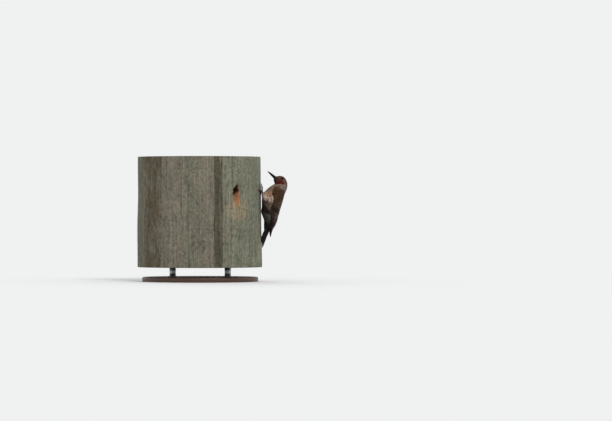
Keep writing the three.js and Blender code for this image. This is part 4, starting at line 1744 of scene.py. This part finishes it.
@dataclass
class Eye:
    """One eyeball with its lids."""

    side: Side
    form: BodyForm
    out: float = 10.5
    radius: float = 4.7
    opening: float = 0.82

    def _frame(self) -> Tuple[Array, Array, Array, Array]:
        """Centre, and the directions of the gaze, of up and of the bill, in the bird's frame."""
        forward, up = self.form.eye
        left = -self.side.value
        centre = self.form.in_head(forward, up, left * self.out)
        gaze = unit(self.form.in_head(forward + 0.16, up + 0.1, left * (self.out + 1)) - centre)
        top = self.form.in_head(forward, up + 1, left * self.out) - centre
        top = unit(top - np.dot(top, gaze) * gaze)
        return centre, gaze, top, np.cross(top, gaze)

    @staticmethod
    def _globe(polar: Array, turn: Array) -> Array:
        """Directions at angles from the gaze and round it."""
        return np.stack([np.sin(polar) * np.cos(turn), np.sin(polar) * np.sin(turn), np.cos(polar)], -1)

    def build(self) -> None:
        """Makes the ball and the ring of lids."""
        centre, gaze, top, across = self._frame()
        polar, turn = grid(np.linspace(0.02, math.pi - 0.02, 40), round_steps(48))
        bulge = self.radius * (1 + 0.035 * np.exp(-(polar / 0.5) ** 2))
        local = self._globe(polar, turn)
        axes = np.stack([across, top, gaze])
        shape = closed_form(centre + bulge[..., None] * (local @ axes))
        word = self.side.word
        ball = bird_piece(f"eye_{word}_ball", shape, self._ball_material(), (f"eye_{word}",))
        ends = np.array([[0, 0, 1.0], [0, 0, -1.0]])
        add_attribute(ball, "gaze", np.concatenate([local.reshape(-1, 3), ends]))
        self._lids(centre, axes)

    def _lids(self, centre: Array, axes: Array) -> None:
        """Makes a soft ring round the opening, lower at the top, with small folds.

        Args:
            centre: The ball's centre.
            axes: Directions across, up and of the gaze.
        """
        turn, tube = grid(round_steps(72), round_steps(16))
        polar = self.opening * (1 - 0.1 * np.maximum(np.sin(turn), 0) ** 2
                                + 0.05 * np.abs(np.cos(turn)) ** 4) + 0.1 * np.cos(tube)
        fold = 1 + 0.12 * np.sin(turn * 24) * np.maximum(np.cos(tube), 0)
        reach = self.radius + 0.02 + 0.2 * np.sin(tube) * fold
        points = centre + reach[..., None] * (self._globe(polar, turn) @ axes)
        quads = ring_quads(73, 16, True) % (72 * 16)
        finish = GrainFinish("lids", srgb(22, 11, 7), srgb(44, 26, 18), 2500,
                             relief=(0.3, 0.0001), specular=0.1)
        bird_piece(f"eyelids_{self.side.word}", (points.reshape(-1, 3), [quads]),
                   finish.material())

    @staticmethod
    def _ball_material() -> Look:
        """Black pupil in a dark brown iris with fine spokes, under a clear wet coat."""
        r = Recipe("eye")
        x, y, _ = r.split(r.attribute("gaze"))
        away = (x ** 2 + y ** 2) ** 0.5
        spokes = r.noise(r.attribute("gaze"), 2.2, 3, stretch=(9, 9, 0.5))
        iris = r.mix(spokes, srgb(20, 7, 4), srgb(54, 21, 10))
        colour = r.mix(away.step(0.38, 0.43), srgb(2, 2, 2), iris)
        colour = r.mix(away.step(0.56, 0.7), colour, srgb(6, 4, 3))
        return r.close(colour, 0.5, None, Specular_IOR_Level=0.0, Coat_Weight=1.0,
                       Coat_Roughness=0.04, Coat_IOR=1.2)


# -------- legs

@dataclass
class Leg:
    """One leg from the heel to the claws, and the feathered thigh above it."""

    side: Side
    pole: PoleForm
    foot_side: float = 28.8
    foot_height: float = 311.5
    foot_clearance: float = 4.6
    toes: Dict[str, Table] = field(default_factory=lambda: {
        # sideways round the wood, height, clearance, radius
        "inner": ((26.3, 318, 5.1, 1.9), (23, 325.5, 4.4, 1.7), (20.8, 330.5, 2.7, 1.5)),
        "middle": ((29.6, 319, 5.6, 2.0), (30.6, 327, 5.1, 1.8), (31.2, 333.5, 2.8, 1.5)),
        "outer": ((34.5, 311.8, 5, 2.4), (41.5, 313.6, 4.6, 2.2), (47.5, 315, 2.9, 1.8)),
        "hind": ((27.6, 305, 4.4, 1.8), (26.9, 300, 3.8, 1.6), (26.5, 296.6, 2.6, 1.4))})
    shank: Table = (
        (224.5, 27.6, 292.5, 2.4), (220, 28, 299, 2.0), (217.5, 28.2, 303, 1.9),
        (213.6, 28.6, 309.2, 2.2))
    thigh: Table = (
        (241, 20, 273, 9), (234, 23, 280.5, 11.4), (226.5, 25.4, 290, 9.6),
        (221.5, 27, 297, 6.6), (219, 27.8, 300.5, 3.6))
    claw_length: float = 7.6
    claw_arch: float = 1.5
    claw_base: float = 1.3
    claw_tip: float = 0.22
    seed: int = 51

    def _sided(self, rows: Sequence[Sequence[float]]) -> Array:
        """Rows of place and radius on this leg's side."""
        return np.array(rows, float) * np.array([1, self.side.value, 1, 1])

    def thigh_form(self) -> TubeForm:
        """The outline of the feathered thigh."""
        return TubeForm(self._sided(self.thigh))

    @staticmethod
    def _tube(path: Array, rings: int, sides: int, scutes: float, depth: float) -> Mesh:
        """Makes a closed tube with rounded ends that widens and steps back at each scute.

        Args:
            path: Rows of place and radius.
            rings: Points along it.
            sides: Points round it.
            scutes: How many scutes it has.
            depth: How far a scute widens it, as a share of the radius.

        Returns:
            The tube.
        """
        last = len(path) - 1
        along, around = grid(np.linspace(0, last, rings), round_steps(sides))
        core = read_table(path, along)[..., :3]
        spoke = TubeForm(path).point(along, around) - core
        share = along / last
        step = 1 + depth * ((share * scutes) % 1 - 0.5)
        cap = np.sqrt(np.clip(1 - (2 * share - 1) ** 12, 0.02, 1))
        return closed_form(core + spoke * (step * cap)[..., None])

    def build(self) -> None:
        """Makes the foot with its shank, and the four claws."""
        hub = self.pole.on_wood(self.side.value * self.foot_side, self.foot_height, self.foot_clearance)
        parts = [self._tube(self._sided(self.shank), 70, 24, 9, 0.07)]
        # Painted shade: the outer and hind toes and the ball are darkened fully, the shank mostly, the
        # inner and middle toes a little.
        shades = [0.75]
        for name, rows in self.toes.items():
            shades.append(1.0 if name in ("outer", "hind") else 0.1)
            path = [[*hub, 2.4]]
            for sideways, height, clearance, radius in rows:
                path.append([*self.pole.on_wood(self.side.value * sideways, height, clearance), radius])
            parts.append(self._tube(np.array(path), 64, 20, 10, 0.10))
        ball = np.array([[*(hub + [-0.2, 0, -2.4]), 1.6], [*hub, 3.0], [*(hub + [-0.2, 0, 2.4]), 1.7]])
        parts.append(self._tube(ball, 24, 24, 3, 0.03))
        shades.append(1.0)
        shade = np.concatenate([np.full(len(part[0]), dark) for part, dark in zip(parts, shades)])
        word = self.side.word
        foot = bird_piece(f"foot_{word}_skin", joined(parts), self._skin_material(),
                          (f"foot_{word}", f"shank_{word}"))
        add_attribute(foot, "shade", np.stack([shade] * 3, -1))
        for name in self.toes:
            self._claw(name)

    def _claw(self, name: str) -> None:
        """Makes a claw that arches on from its toe into the wood, narrowing to its point.

        Args:
            name: The toe's name.
        """
        before, end = (np.array(row) for row in self.toes[name][-2:])
        run = (end - before)[:2] / np.linalg.norm((end - before)[:2])
        share = np.linspace(0, 1, 7)
        reach = self.claw_length * share - 0.8 * (1 - share)
        clearance = end[2] + (0.45 - end[2]) * share ** 1.6 + self.claw_arch * np.sin(math.pi * share)
        place = self.pole.on_wood(self.side.value * (end[0] + run[0] * reach),
                                  end[1] + run[1] * reach, clearance)
        radius = self.claw_base + (self.claw_tip - self.claw_base) * share ** 0.8
        shape = self._tube(np.column_stack([place, radius]), 30, 18, 1, 0.0)
        finish = GrainFinish("claw_horn", srgb(26, 25, 22), srgb(70, 66, 56), 1500, (1, 1, 0.3),
                             roughness=0.3, relief=())
        claw = f"claw_{self.side.word}_{name}"
        bird_piece(claw + "_horn", shape, finish.material(), (claw,))

    def feather(self) -> None:
        """Lays small feathers down the thigh."""
        rng = np.random.default_rng(self.seed + self.side.value)
        form = self.thigh_form()
        def spacing(along: Array, around: Array) -> Array:
            """Distance between roots, finer towards the heel."""
            return 2.5 - 0.25 * along
        along, around = scatter(form, (0.2, 3.9), (0, TURN), spacing, rng, 6000)
        place, ahead, _, _ = form.basis(along, around)
        core = read_table(form.path, along)[..., :3]
        gap = spacing(along, around)
        lie = unit(ahead) + 0.12 * rng.normal(size=ahead.shape)
        cut = VaneCut(columns=7, rows=5)
        lifts = (np.full(len(gap), -1.3), 0.1 * rng.normal(size=len(gap)))
        laid = lay_vanes(form, along, around, lie, gap * 2.9, gap * 0.95, lifts, cut, rng)
        tint = shades(Hue.FLANK, rng, 0.82, 1.18, len(gap))
        tint = blend(tint, Hue.BREAST_PALE, ease(0.4, 1.6, along))
        # Painted shade on the side of the thigh that faces the wood; the tint also darkens towards the
        # heel.
        wood_side_shade = ease(0.2, -0.7, unit(place - core)[:, 0])
        tint = tint * (1 - 0.6 * wood_side_shade - 0.25 * ease(2.5, 3.3, along))[:, None]
        marks = np.stack([1.0 * (rng.random(len(gap)) < 0.25), 0.3 + 0 * gap, 0 * gap], -1)
        coat = Coat()
        coat.add_vanes(cut, laid, rng.random(len(gap)), tint, marks,
                       np.stack([around / TURN, along / 4], -1))
        coat.build(f"thigh_{self.side.word}_feathers", "body_plumage",
                   FeatherFinish("thigh_feathers", barbs=20).material())

    @staticmethod
    def _skin_material() -> Look:
        """Grey scaled skin, darker in the creases, with painted shade on the parts that the shade
        attribute marks.
        """
        r = Recipe("leg_scale")
        cells = r.node("ShaderNodeTexVoronoi", {"feature": "F1"},
                       {"Vector": r.place(), "Scale": 1500.0}, "Distance")
        cloud = r.noise(r.place(), 300, 3)
        colour = r.mix(cells * 0.8 + cloud * 0.3, srgb(172, 176, 168), srgb(104, 107, 99))
        shade, _, _ = r.split(r.attribute("shade"))
        # Painted shade: dark olive over the marked toes, shank and ball.
        colour = r.mix(shade * (0.8 + cloud * 0.4), colour, srgb(18, 17, 10))
        return r.close(colour, 0.5 + cloud * 0.2, r.bump(cells, 0.5, 0.0002), Specular_IOR_Level=0.2)


# -------- pole

@dataclass(frozen=True)
class Check:
    """A drying crack: bearing in degrees, ends, half width and depth in mm, wander, and the darkness of
    the painted shade in it.
    """

    bearing: float
    low: float = 0.0
    high: float = 1000.0
    half: float = 0.6
    depth: float = 2.0
    wander: float = 0.4
    dark: float = 0.5


@dataclass(frozen=True)
class Band:
    """A band up the pole, weathered or painted shade as marked: bearing, half width and soft edge in
    degrees, and colour.
    """

    bearing: float
    half: float
    soft: float
    colour: Colour


@dataclass
class Pole:
    """The cut length of weathered pole that the bird clings to."""

    form: PoleForm = PoleForm()
    columns: int = 560
    side_rows: int = 132
    end_rows: int = 12
    plain: Colour = srgb(114, 108, 95)
    warm: Colour = srgb(130, 120, 98)
    bands: Tuple[Band, ...] = (
        Band(-161, 8, 3, srgb(100, 98, 82)), Band(-139, 12, 4, srgb(87, 79, 63)),
        Band(-97, 6, 3, srgb(110, 108, 92)), Band(-71.5, 3.6, 1.2, srgb(77, 74, 60)),
        # The narrow dark band at -71.5 is painted shade in the shallow valley there.
        Band(-45, 20, 4, srgb(113, 114, 98)), Band(-14, 16, 4, srgb(118, 121, 103)),
        Band(24, 13, 5, srgb(92, 84, 68)), Band(58, 3.5, 1.5, srgb(80, 76, 62)),
        Band(96, 22, 5, srgb(108, 109, 92)), Band(142, 10, 4, srgb(90, 82, 66)))
    checks: Tuple[Check, ...] = (
        Check(-67.6, half=1.1, depth=8, dark=0.9), Check(-75.2, 60, 420, 0.8, 1.6, 0.9, 0.4),
        Check(-99.1), Check(-89.2, 50, 330), Check(-105.4, 362, 440), Check(-128.0),
        Check(-24.8, dark=0.6), Check(-150.5, 70, 400, wander=0.8),
        Check(40.0, 50, 430, 1.4, 7, 1.5, 0.9), Check(78.0, 100, 350), Check(112.0, 50, 300),
        Check(150.0, 130, 430, 1.2, 5, 1.2, 0.9), Check(176.0, 60, 260))
    scratches: Table = (
        # bearing and height in mm of both ends
        (-91, 185, -68, 172), (-69, 173, -52, 159), (-53, 160, -43, 146), (-53, 256, -32, 240),
        (-120, 212, -108, 207), (28, 260, 52, 244), (100, 150, 122, 163))
    hole_bearing: float = -53.2
    hole_height: float = 296.0
    hole_half_width: float = 13.5
    hole_half_height: float = 36.0
    hole_depth: float = 30.0

    def _angles(self) -> Array:
        """Bearings of the columns, in degrees, packed closer at the hole and the cracks."""
        fine = np.linspace(-180, 180, 7201)
        density = 1 + 2.6 * np.exp(-((fine - self.hole_bearing) / 5.0) ** 4)
        for check in self.checks:
            density += 2.2 * np.exp(-((fine - check.bearing) / 1.1) ** 2)
        return packed(fine, density, np.arange(self.columns) / self.columns)

    def _heights(self) -> Array:
        """Heights of the side's rows, packed closer at the hole."""
        low, high = self.form.bottom, self.form.bottom + self.form.length
        fine = np.linspace(low, high, 4001)
        density = 1 + 1.8 * np.exp(-((fine - self.hole_height) / 42) ** 4)
        return packed(fine, density, np.linspace(0, 1, self.side_rows))

    def _shares(self, bearing: Array, height: Array) -> Pair:
        """Places round and along the pole, 0 to 1, where noise is read."""
        return (bearing + 180) / 360, (height - self.form.bottom) / self.form.length

    def _relief(self, bearing: Array, height: Array) -> Pair:
        """How far the wood stands from its plain round, and where shade is painted and fresh wood shows.

        The relief is a sum of swells and grain ridges along the wood, minus a wedge for each
        crack and a rough bowl for the hole.

        Args:
            bearing: Degrees round the pole.
            height: Height above the floor.

        Returns:
            The relief in mm, and from 0 to 1 the cracks' painted shade, the hole's painted shade and the
            fresh wood.
        """
        around, along = self._shares(bearing, height)
        def noise(columns: int, rows: int, seed: int) -> Array:
            """Noise over the side of the pole."""
            return lattice_noise(around, along, (columns, rows), seed)
        def drift(rows: int, seed: int) -> Array:
            """Noise that changes only with the height."""
            return lattice_noise(0 * along, along, (2, rows), seed)
        relief = 0.9 * noise(9, 3, 1)
        relief += 0.45 * noise(70, 5, 2)
        relief += 0.3 * noise(230, 9, 3)
        relief += 0.2 * noise(420, 60, 4)
        relief -= 1.3 * np.exp(-((bearing + 71.5) / 3.2) ** 4)
        relief += (3.4 + 3.0 * along) * np.maximum(-np.cos(np.radians(bearing + 8)), 0) ** 2
        crack = np.zeros_like(relief)
        radius = self.form.radius(height)
        for number, check in enumerate(self.checks):
            wave = check.wander * drift(7, 20 + number)
            wave += 0.5 * drift(30, 60 + number)
            distance = np.radians(away(bearing, check.bearing)) * radius - wave
            length = ease(check.low, check.low + 45, height) * ease(check.high, check.high - 45, height)
            length = np.maximum(length, 0.001) * (0.75 + 0.25 * drift(12, 90 + number))
            half = np.maximum(check.half * length, 0.05)
            wedge = np.clip(1 - np.abs(distance) / half, 0, 1)
            relief -= check.depth * length * wedge ** 0.8 * (length > 0.05)
            shade = check.dark * length * np.exp(-(distance / (half + 0.5)) ** 2)
            crack = np.maximum(crack, shade)
        x = np.radians(away(bearing, self.hole_bearing)) * radius / self.hole_half_width
        z = (height - self.hole_height) / self.hole_half_height
        ragged = 1 + 0.16 * noise(300, 60, 5) + 0.1 * noise(120, 24, 6)
        lower = np.where(z > 0.1, 0.9, 1.1)
        lean = 0.2 + 0.04 * np.maximum(-z, 0)
        rho = np.sqrt((x - lean) ** 2 + ((z - 0.1) / lower) ** 2) * ragged
        bowl = np.clip(1 - rho ** 2.4, 0, 1) ** 0.55
        relief -= self.hole_depth * bowl * (1 + 0.22 * noise(420, 80, 7))
        hole = ease(1.18, 0.92, rho)
        rough = 0.15 * noise(260, 50, 8)
        fresh = hole * np.maximum(ease(0.1, 0.8, 1.1 * x - 1.2 * z - 0.42 + rough),
                                  ease(-0.05, -0.4, z + rough))
        return relief, np.stack([crack, hole, fresh], -1)

    def build(self) -> None:
        """Makes the pole as rings from the middle of the lower end to the middle of the upper."""
        angles, heights = self._angles(), self._heights()
        bearing, height = np.meshgrid(angles, heights)
        # worn holds the cracks' painted shade, the hole's painted shade and the fresh wood.
        relief, worn = self._relief(bearing, height)
        radius = self.form.radius(height) + relief
        share = np.concatenate([np.linspace(0.03, 0.985, self.end_rows) ** 0.8, [0.994]])
        def end(level: float, row: int, sign: float) -> Tuple[Array, Array, Array]:
            """Works out one cut end, from its middle to its edge.

            Args:
                level: Height of its edge.
                row: Row of the side that it meets.
                sign: 1 at the top, -1 at the bottom.

            Returns:
                Its radii, heights, and the cracks' painted shade carried onto the cut.
            """
            reach = share[:, None] * radius[row][None, :]
            rough = 0.35 * lattice_noise((bearing[0] + 180)[None, :] / 360 + 0 * reach,
                                         share[:, None] + 0 * reach, (60, 20), 11 + int(level))
            high = level - sign * (0.5 + rough * ease(1.0, 0.9, share)[:, None])
            splits = worn[row][None, :, 0] * ease(0.55, 0.95, share)[:, None]
            shade_and_wear = np.stack([splits, 0 * splits, 0 * splits], -1)
            return reach, high, shade_and_wear
        low, high = heights[0], heights[-1]
        low_reach, low_high, low_shade_and_wear = end(low, 0, -1.0)
        top_reach, top_high, top_shade_and_wear = end(high, -1, 1.0)
        shave = np.zeros_like(radius)
        shave[[0, -1]] = 0.5
        shave[[1, -2]] = 0.15
        all_reach = np.concatenate([low_reach, radius - shave, top_reach[::-1]])
        all_high = np.concatenate([low_high, height, top_high[::-1]])
        shade_and_wear = np.concatenate([low_shade_and_wear, worn, top_shade_and_wear[::-1]])
        turn = np.radians(angles)[None, :]
        rings = np.stack([all_reach * np.cos(turn), all_reach * np.sin(turn), all_high], -1)
        piece = make_piece("pole_wood", closed_form(rings), self._material(),
                           ("perch_pole",))
        add_attribute(piece, "shade_and_wear", np.concatenate([shade_and_wear.reshape(-1, 3), np.zeros((2, 3))]))
        is_end = np.ones((*all_reach.shape, 1))
        is_end[len(share):-len(share)] = 0
        tone = self._tone(angles[None, :] + 0 * all_high, all_high)
        tone = np.concatenate([tone, is_end], -1).reshape(-1, 4)
        add_attribute(piece, "tone", np.concatenate([tone, np.ones((2, 4))]))

    def _tone(self, bearing: Array, height: Array) -> Array:
        """The broad weathered colour at each bearing and height: bands with wandering edges.

        Args:
            bearing: Degrees round the pole.
            height: Height above the floor.

        Returns:
            One linear colour for each place.
        """
        around, along = self._shares(bearing, height)
        drift = 2.6 * lattice_noise(around, along, (24, 5), 31) + 2.0 * lattice_noise(
            around, along, (110, 8), 32)
        mottle = np.clip(0.85 + 0.6 * lattice_noise(around, along, (120, 12), 33), 0.3, 1)
        tone = flood(self.plain, bearing)
        for band in self.bands:
            gone = np.abs(away(bearing + drift * min(1, band.soft / 4), band.bearing))
            patchy = mottle if band.soft > 2 else 1
            tone = blend(tone, band.colour, patchy * ease(
                band.half + band.soft, band.half - band.soft, gone))
        gone = ((bearing + 50) / 15) ** 2 + ((height - 248) / 44) ** 2
        return blend(tone, self.warm, 0.85 * ease(1.3, 0.5, gone + 0.1 * drift))

    def _material(self) -> Look:
        """Grey weathered softwood: long grain, specks, scratches, cracks and a fresh hole, with painted
        shade in the cracks and in the hole's bowl.
        """
        r = Recipe("weathered_wood")
        place = r.place()
        crack, hole, fresh = r.split(r.attribute("shade_and_wear"))
        cut = r.attribute("tone", "Alpha")
        patch = r.noise(place, 24, 3, stretch=(1, 1, 0.4))
        grain = r.noise(place, 150, 5, 0.7, (1, 1, 0.03))
        fibre = r.noise(place, 900, 3, 0.6, (1, 1, 0.06))
        speck = r.noise(place, 115, 5, 0.75, (1, 1, 0.75))
        dash = r.noise(place, 170, 5, 0.7, (0.35, 0.35, 1.5))
        split = abs(r.noise(place, 75, 2, stretch=(1, 1, 0.02)) - 0.5)
        light = patch * 0.8 + grain * 1.5 + speck * 2.5 + fibre * 0.5 - 1.65
        colour = r.brightened(r.attribute("tone", "Color"), light)
        moss = r.noise(place, 60, 4, 0.7, (1, 1, 0.25)).step(0.5, 0.7)
        colour = r.mix(moss * 0.4, colour, srgb(92, 101, 82))
        colour = r.mix(grain.step(0.56, 0.72) * 0.35, colour, srgb(150, 143, 127))
        colour = r.mix(dash.step(0.58, 0.72) * 0.45, colour, srgb(70, 67, 54))
        colour = r.mix((1 - split.step(0.004, 0.016)) * patch.step(0.4, 0.6) * 0.6, colour,
                       srgb(62, 58, 46))
        x, y, z = r.split(place)
        wobble = r.noise(place, 18, 2) * 0.02
        angle = y.bearing(x)
        for left, start, right, end in self.scratches:
            share = (angle - math.radians(left)) / math.radians(right - left)
            level = share * ((end - start) * MM) + start * MM
            off = abs(z - level + (speck - 0.5) * 0.006)
            line = (1 - off.step(0.0003, 0.0016)) * share.step(0.0, 0.1)
            colour = r.mix(line * (1 - share.step(0.85, 1.0)) * 0.5, colour, srgb(44, 42, 33))
        reach = (x ** 2 + y ** 2) ** 0.5
        rings = ((reach + wobble) * (TURN / 0.0062)).sine()
        end_wood = r.mix(rings * 0.35 + 0.5, srgb(140, 124, 100), srgb(118, 100, 78))
        end_wood = r.mix(r.noise(place, 60, 4).step(0.4, 0.7) * 0.6, end_wood, srgb(104, 98, 86))
        spoke = abs((angle * 13 + r.noise(place, 30, 3) * 2.2).sine()) * reach / 13
        ray = (1 - spoke.step(0.0003, 0.0009)) * r.noise(place, 16, 2).step(0.47, 0.56)
        end_wood = r.mix(ray * reach.step(0.02, 0.08) * 0.8, end_wood, srgb(44, 36, 28))
        colour = r.mix(cut, colour, end_wood)
        # Painted shade in the cracks.
        colour = r.mix(crack * 0.9, colour, srgb(34, 30, 24))
        # The hole's bowl is painted dark brown as painted shade; the fresh wood on its lower side keeps
        # its own colour.
        bowl = r.mix(fibre * 0.5 + grain * 0.5, srgb(30, 11, 4), srgb(76, 38, 19))
        raw = r.mix(fibre * 0.6 + grain * 0.4, srgb(168, 112, 72), srgb(212, 166, 124))
        colour = r.mix(hole, colour, bowl)
        colour = r.mix(fresh, colour, raw)
        height = grain * 0.5 + fibre * 0.3 + speck * 0.4 + rings * cut * 0.15
        return r.close(colour, 0.86 + grain * 0.1, r.bump(height, 0.8, 0.0014), Specular_IOR_Level=0.15)


# -------- stand

@dataclass
class DisplayStand:
    """The plain round base and the two rods that carry the pole."""

    radius: float = 200.0
    rounding: float = 4.0
    thickness: float = 16.0
    rod_radius: float = 11.0
    rod_spread: float = 95.0
    pole_bottom: float = PoleForm.bottom
    gap: float = 0.35

    @staticmethod
    def _lathe(profile: Array, x: float, sides: int) -> Mesh:
        """Turns a profile round an upright axis.

        Args:
            profile: Rows of radius and height.
            x: Where the axis stands.
            sides: Points round it.

        Returns:
            The solid.
        """
        angle = round_steps(sides)[None, :]
        reach, high = profile[:, :1], profile[:, 1:]
        return closed_form(np.stack([x + reach * np.cos(angle), reach * np.sin(angle),
                                     high + 0 * angle], -1))

    def build(self) -> None:
        """Makes the base and the rods."""
        bend = np.linspace(0, math.pi / 2, 9)
        edge, top, r, bow = self.radius, self.thickness, self.rod_radius, self.rounding
        board = np.concatenate([
            [[40.0, 0], [120, 0], [edge - 1.2, 0], [edge - 0.3, 0.3], [edge, 1.2]],
            np.stack([edge - bow + bow * np.cos(bend), top - bow + bow * np.sin(bend)], -1),
            [[edge - 30, top], [120, top], [60, top], [20, top]]])
        low, high = top + self.gap, self.pole_bottom - self.gap
        foot = np.array([[r * 0.5, 0], [r + 3.2, 0], [r + 3.6, 0.4], [r + 3.6, 2.6],
                         [r + 3.2, 3], [r + 0.3, 3], [r, 3.3]])
        rod = np.concatenate([foot + [0, low], (foot * [1, -1] + [0, high])[::-1]])
        make_piece("stand_base_board", self._lathe(board, 0, 192), self._wood(),
                   ("stand_base",))
        steel = GrainFinish("brushed_rod", srgb(150, 152, 154), srgb(196, 197, 198), 2600,
                            (0.05, 0.05, 1), 0.26, 0.16, (0.1, 0.00005), 1.0)
        for number, x in ((1, -self.rod_spread), (2, self.rod_spread)):
            make_piece(f"stand_rod_{number}_steel", self._lathe(rod, x, 72),
                       steel.material(), (f"stand_rod_{number}",))

    @staticmethod
    def _wood() -> Look:
        """Dark stained board with fine straight grain under a satin wax."""
        r = Recipe("stained_wood")
        grain = r.noise(r.place(), 240, 5, 0.6, (0.06, 1, 1))
        pores = r.noise(r.place(), 1300, 2, stretch=(0.03, 1, 1))
        colour = r.mix(grain, srgb(38, 25, 18), srgb(86, 58, 40))
        colour = r.mix(pores.step(0.6, 0.75) * 0.5, colour, srgb(24, 16, 12))
        return r.close(colour, 0.38 + grain * 0.18, r.bump(pores, 0.2, 0.0002))


# -------- stage

@dataclass(frozen=True)
class Stage:
    """Floor, sky, lamps and camera."""

    sky: Colour = srgb(240, 241, 241)
    fill: float = 0.66
    camera_at: Values = (0.365, -12.0, 0.245)
    lens: float = 204.6

    def build(self) -> None:
        """Sets everything up."""
        self._floor()
        self._world()
        self._lamps()
        self._camera()
        bpy.context.scene.view_settings.view_transform = "Standard"

    def _floor(self) -> None:
        """A wide round floor that keeps shadows near the stand and fades to the sky far off."""
        reach = np.array([0.02, 0.4, 0.8, 1.5, 3, 6, 12, 25, 60]) / MM
        reach, angle = grid(reach, round_steps(96))
        rings = np.stack([reach * np.cos(angle), reach * np.sin(angle), 0 * reach - 0.05], -1)
        points = np.concatenate([rings.reshape(-1, 3), [[0, 0, -0.05]]]) * MM
        j = np.arange(96)
        fan = np.stack([j, (j + 1) % 96, np.full(96, len(points) - 1)], -1)
        mesh = bpy.data.meshes.new("floor")
        mesh.from_pydata(points.tolist(), [],
                         ring_quads(len(rings), 96, True)[:, ::-1].tolist() + fan.tolist())
        floor = link(bpy.data.objects.new("floor", mesh))
        r = Recipe("floor")
        x, y, _ = r.split(r.place())
        far = ((x ** 2 + y ** 2) ** 0.5).step(0.7, 2.6)
        near = r.node("ShaderNodeBsdfDiffuse", None, {"Color": (*self.sky, 1)})
        glow = r.node("ShaderNodeEmission", None, {"Color": (*self.sky, 1), "Strength": 1.0})
        seen = r.node("ShaderNodeLightPath", output="Is Camera Ray")
        surface = r.node("ShaderNodeMixShader", None, {0: far * seen, 1: near, 2: glow})
        floor.data.materials.append(r.finish(surface))

    def _world(self) -> None:
        """Even daylight from all round; the camera, glass and metal see the pale sky."""
        world = bpy.context.scene.world = bpy.data.worlds.new("daylight")
        r = Recipe("daylight", world)
        rays = r.node("ShaderNodeLightPath").socket.node.outputs
        camera, glossy, glass = (Signal(r, rays[f"Is {kind} Ray"])
                                 for kind in ("Camera", "Glossy", "Transmission"))
        seen = camera.highest(glossy).highest(glass)
        light = r.node("ShaderNodeBackground", None,
                       {"Color": (0.97, 0.985, 1.0, 1), "Strength": self.fill})
        sky = r.node("ShaderNodeBackground", None, {"Color": (*self.sky, 1)})
        r.finish(r.node("ShaderNodeMixShader", None, {0: seen, 1: light, 2: sky}),
                 "ShaderNodeOutputWorld")

    @staticmethod
    def _lamps() -> None:
        """A broad soft sun from high in front and a little from the right."""
        for name, power, spread, turn in (
            ("key", 1.25, 24, (48, 0, 24)), ("back", 0.5, 40, (52, 0, 200))):
            lamp = bpy.data.lights.new(name, "SUN")
            lamp.energy = power
            lamp.angle = math.radians(spread)
            lamp.color = (1.0, 0.98, 0.95)
            holder = link(bpy.data.objects.new(name, lamp))
            holder.rotation_euler = [math.radians(a) for a in turn]

    def _camera(self) -> None:
        """A level camera with a long lens."""
        lens = bpy.data.cameras.new("camera")
        lens.lens = self.lens
        lens.sensor_width = 36
        lens.clip_end = 200
        camera = link(bpy.data.objects.new("camera", lens))
        camera.location = self.camera_at
        camera.rotation_euler = (math.radians(90), 0, 0)
        bpy.context.scene.camera = camera


# -------- all together

def main() -> None:
    """Builds every piece in order."""
    logging.basicConfig(level=logging.INFO, format="%(message)s", force=True)
    Stage().build()
    body = BodyForm()
    wings = {side: WingForm(side) for side in Side}
    pole = PoleForm()
    legs = {side: Leg(side, pole) for side in Side}
    plumage = Plumage(body)
    coat = BodyCoat(body, plumage, wings)
    Skin(body, coat, {side: leg.thigh_form() for side, leg in legs.items()}).build()
    coat.build()
    for side in Side:
        Wing(side, wings[side]).build()
        Eye(side, body).build()
        legs[side].build()
        legs[side].feather()
    Tail().build()
    Bill(body).build()
    Bristles(body).build()
    Pole().build()
    DisplayStand().build()


if __name__ == "__main__":
    main()
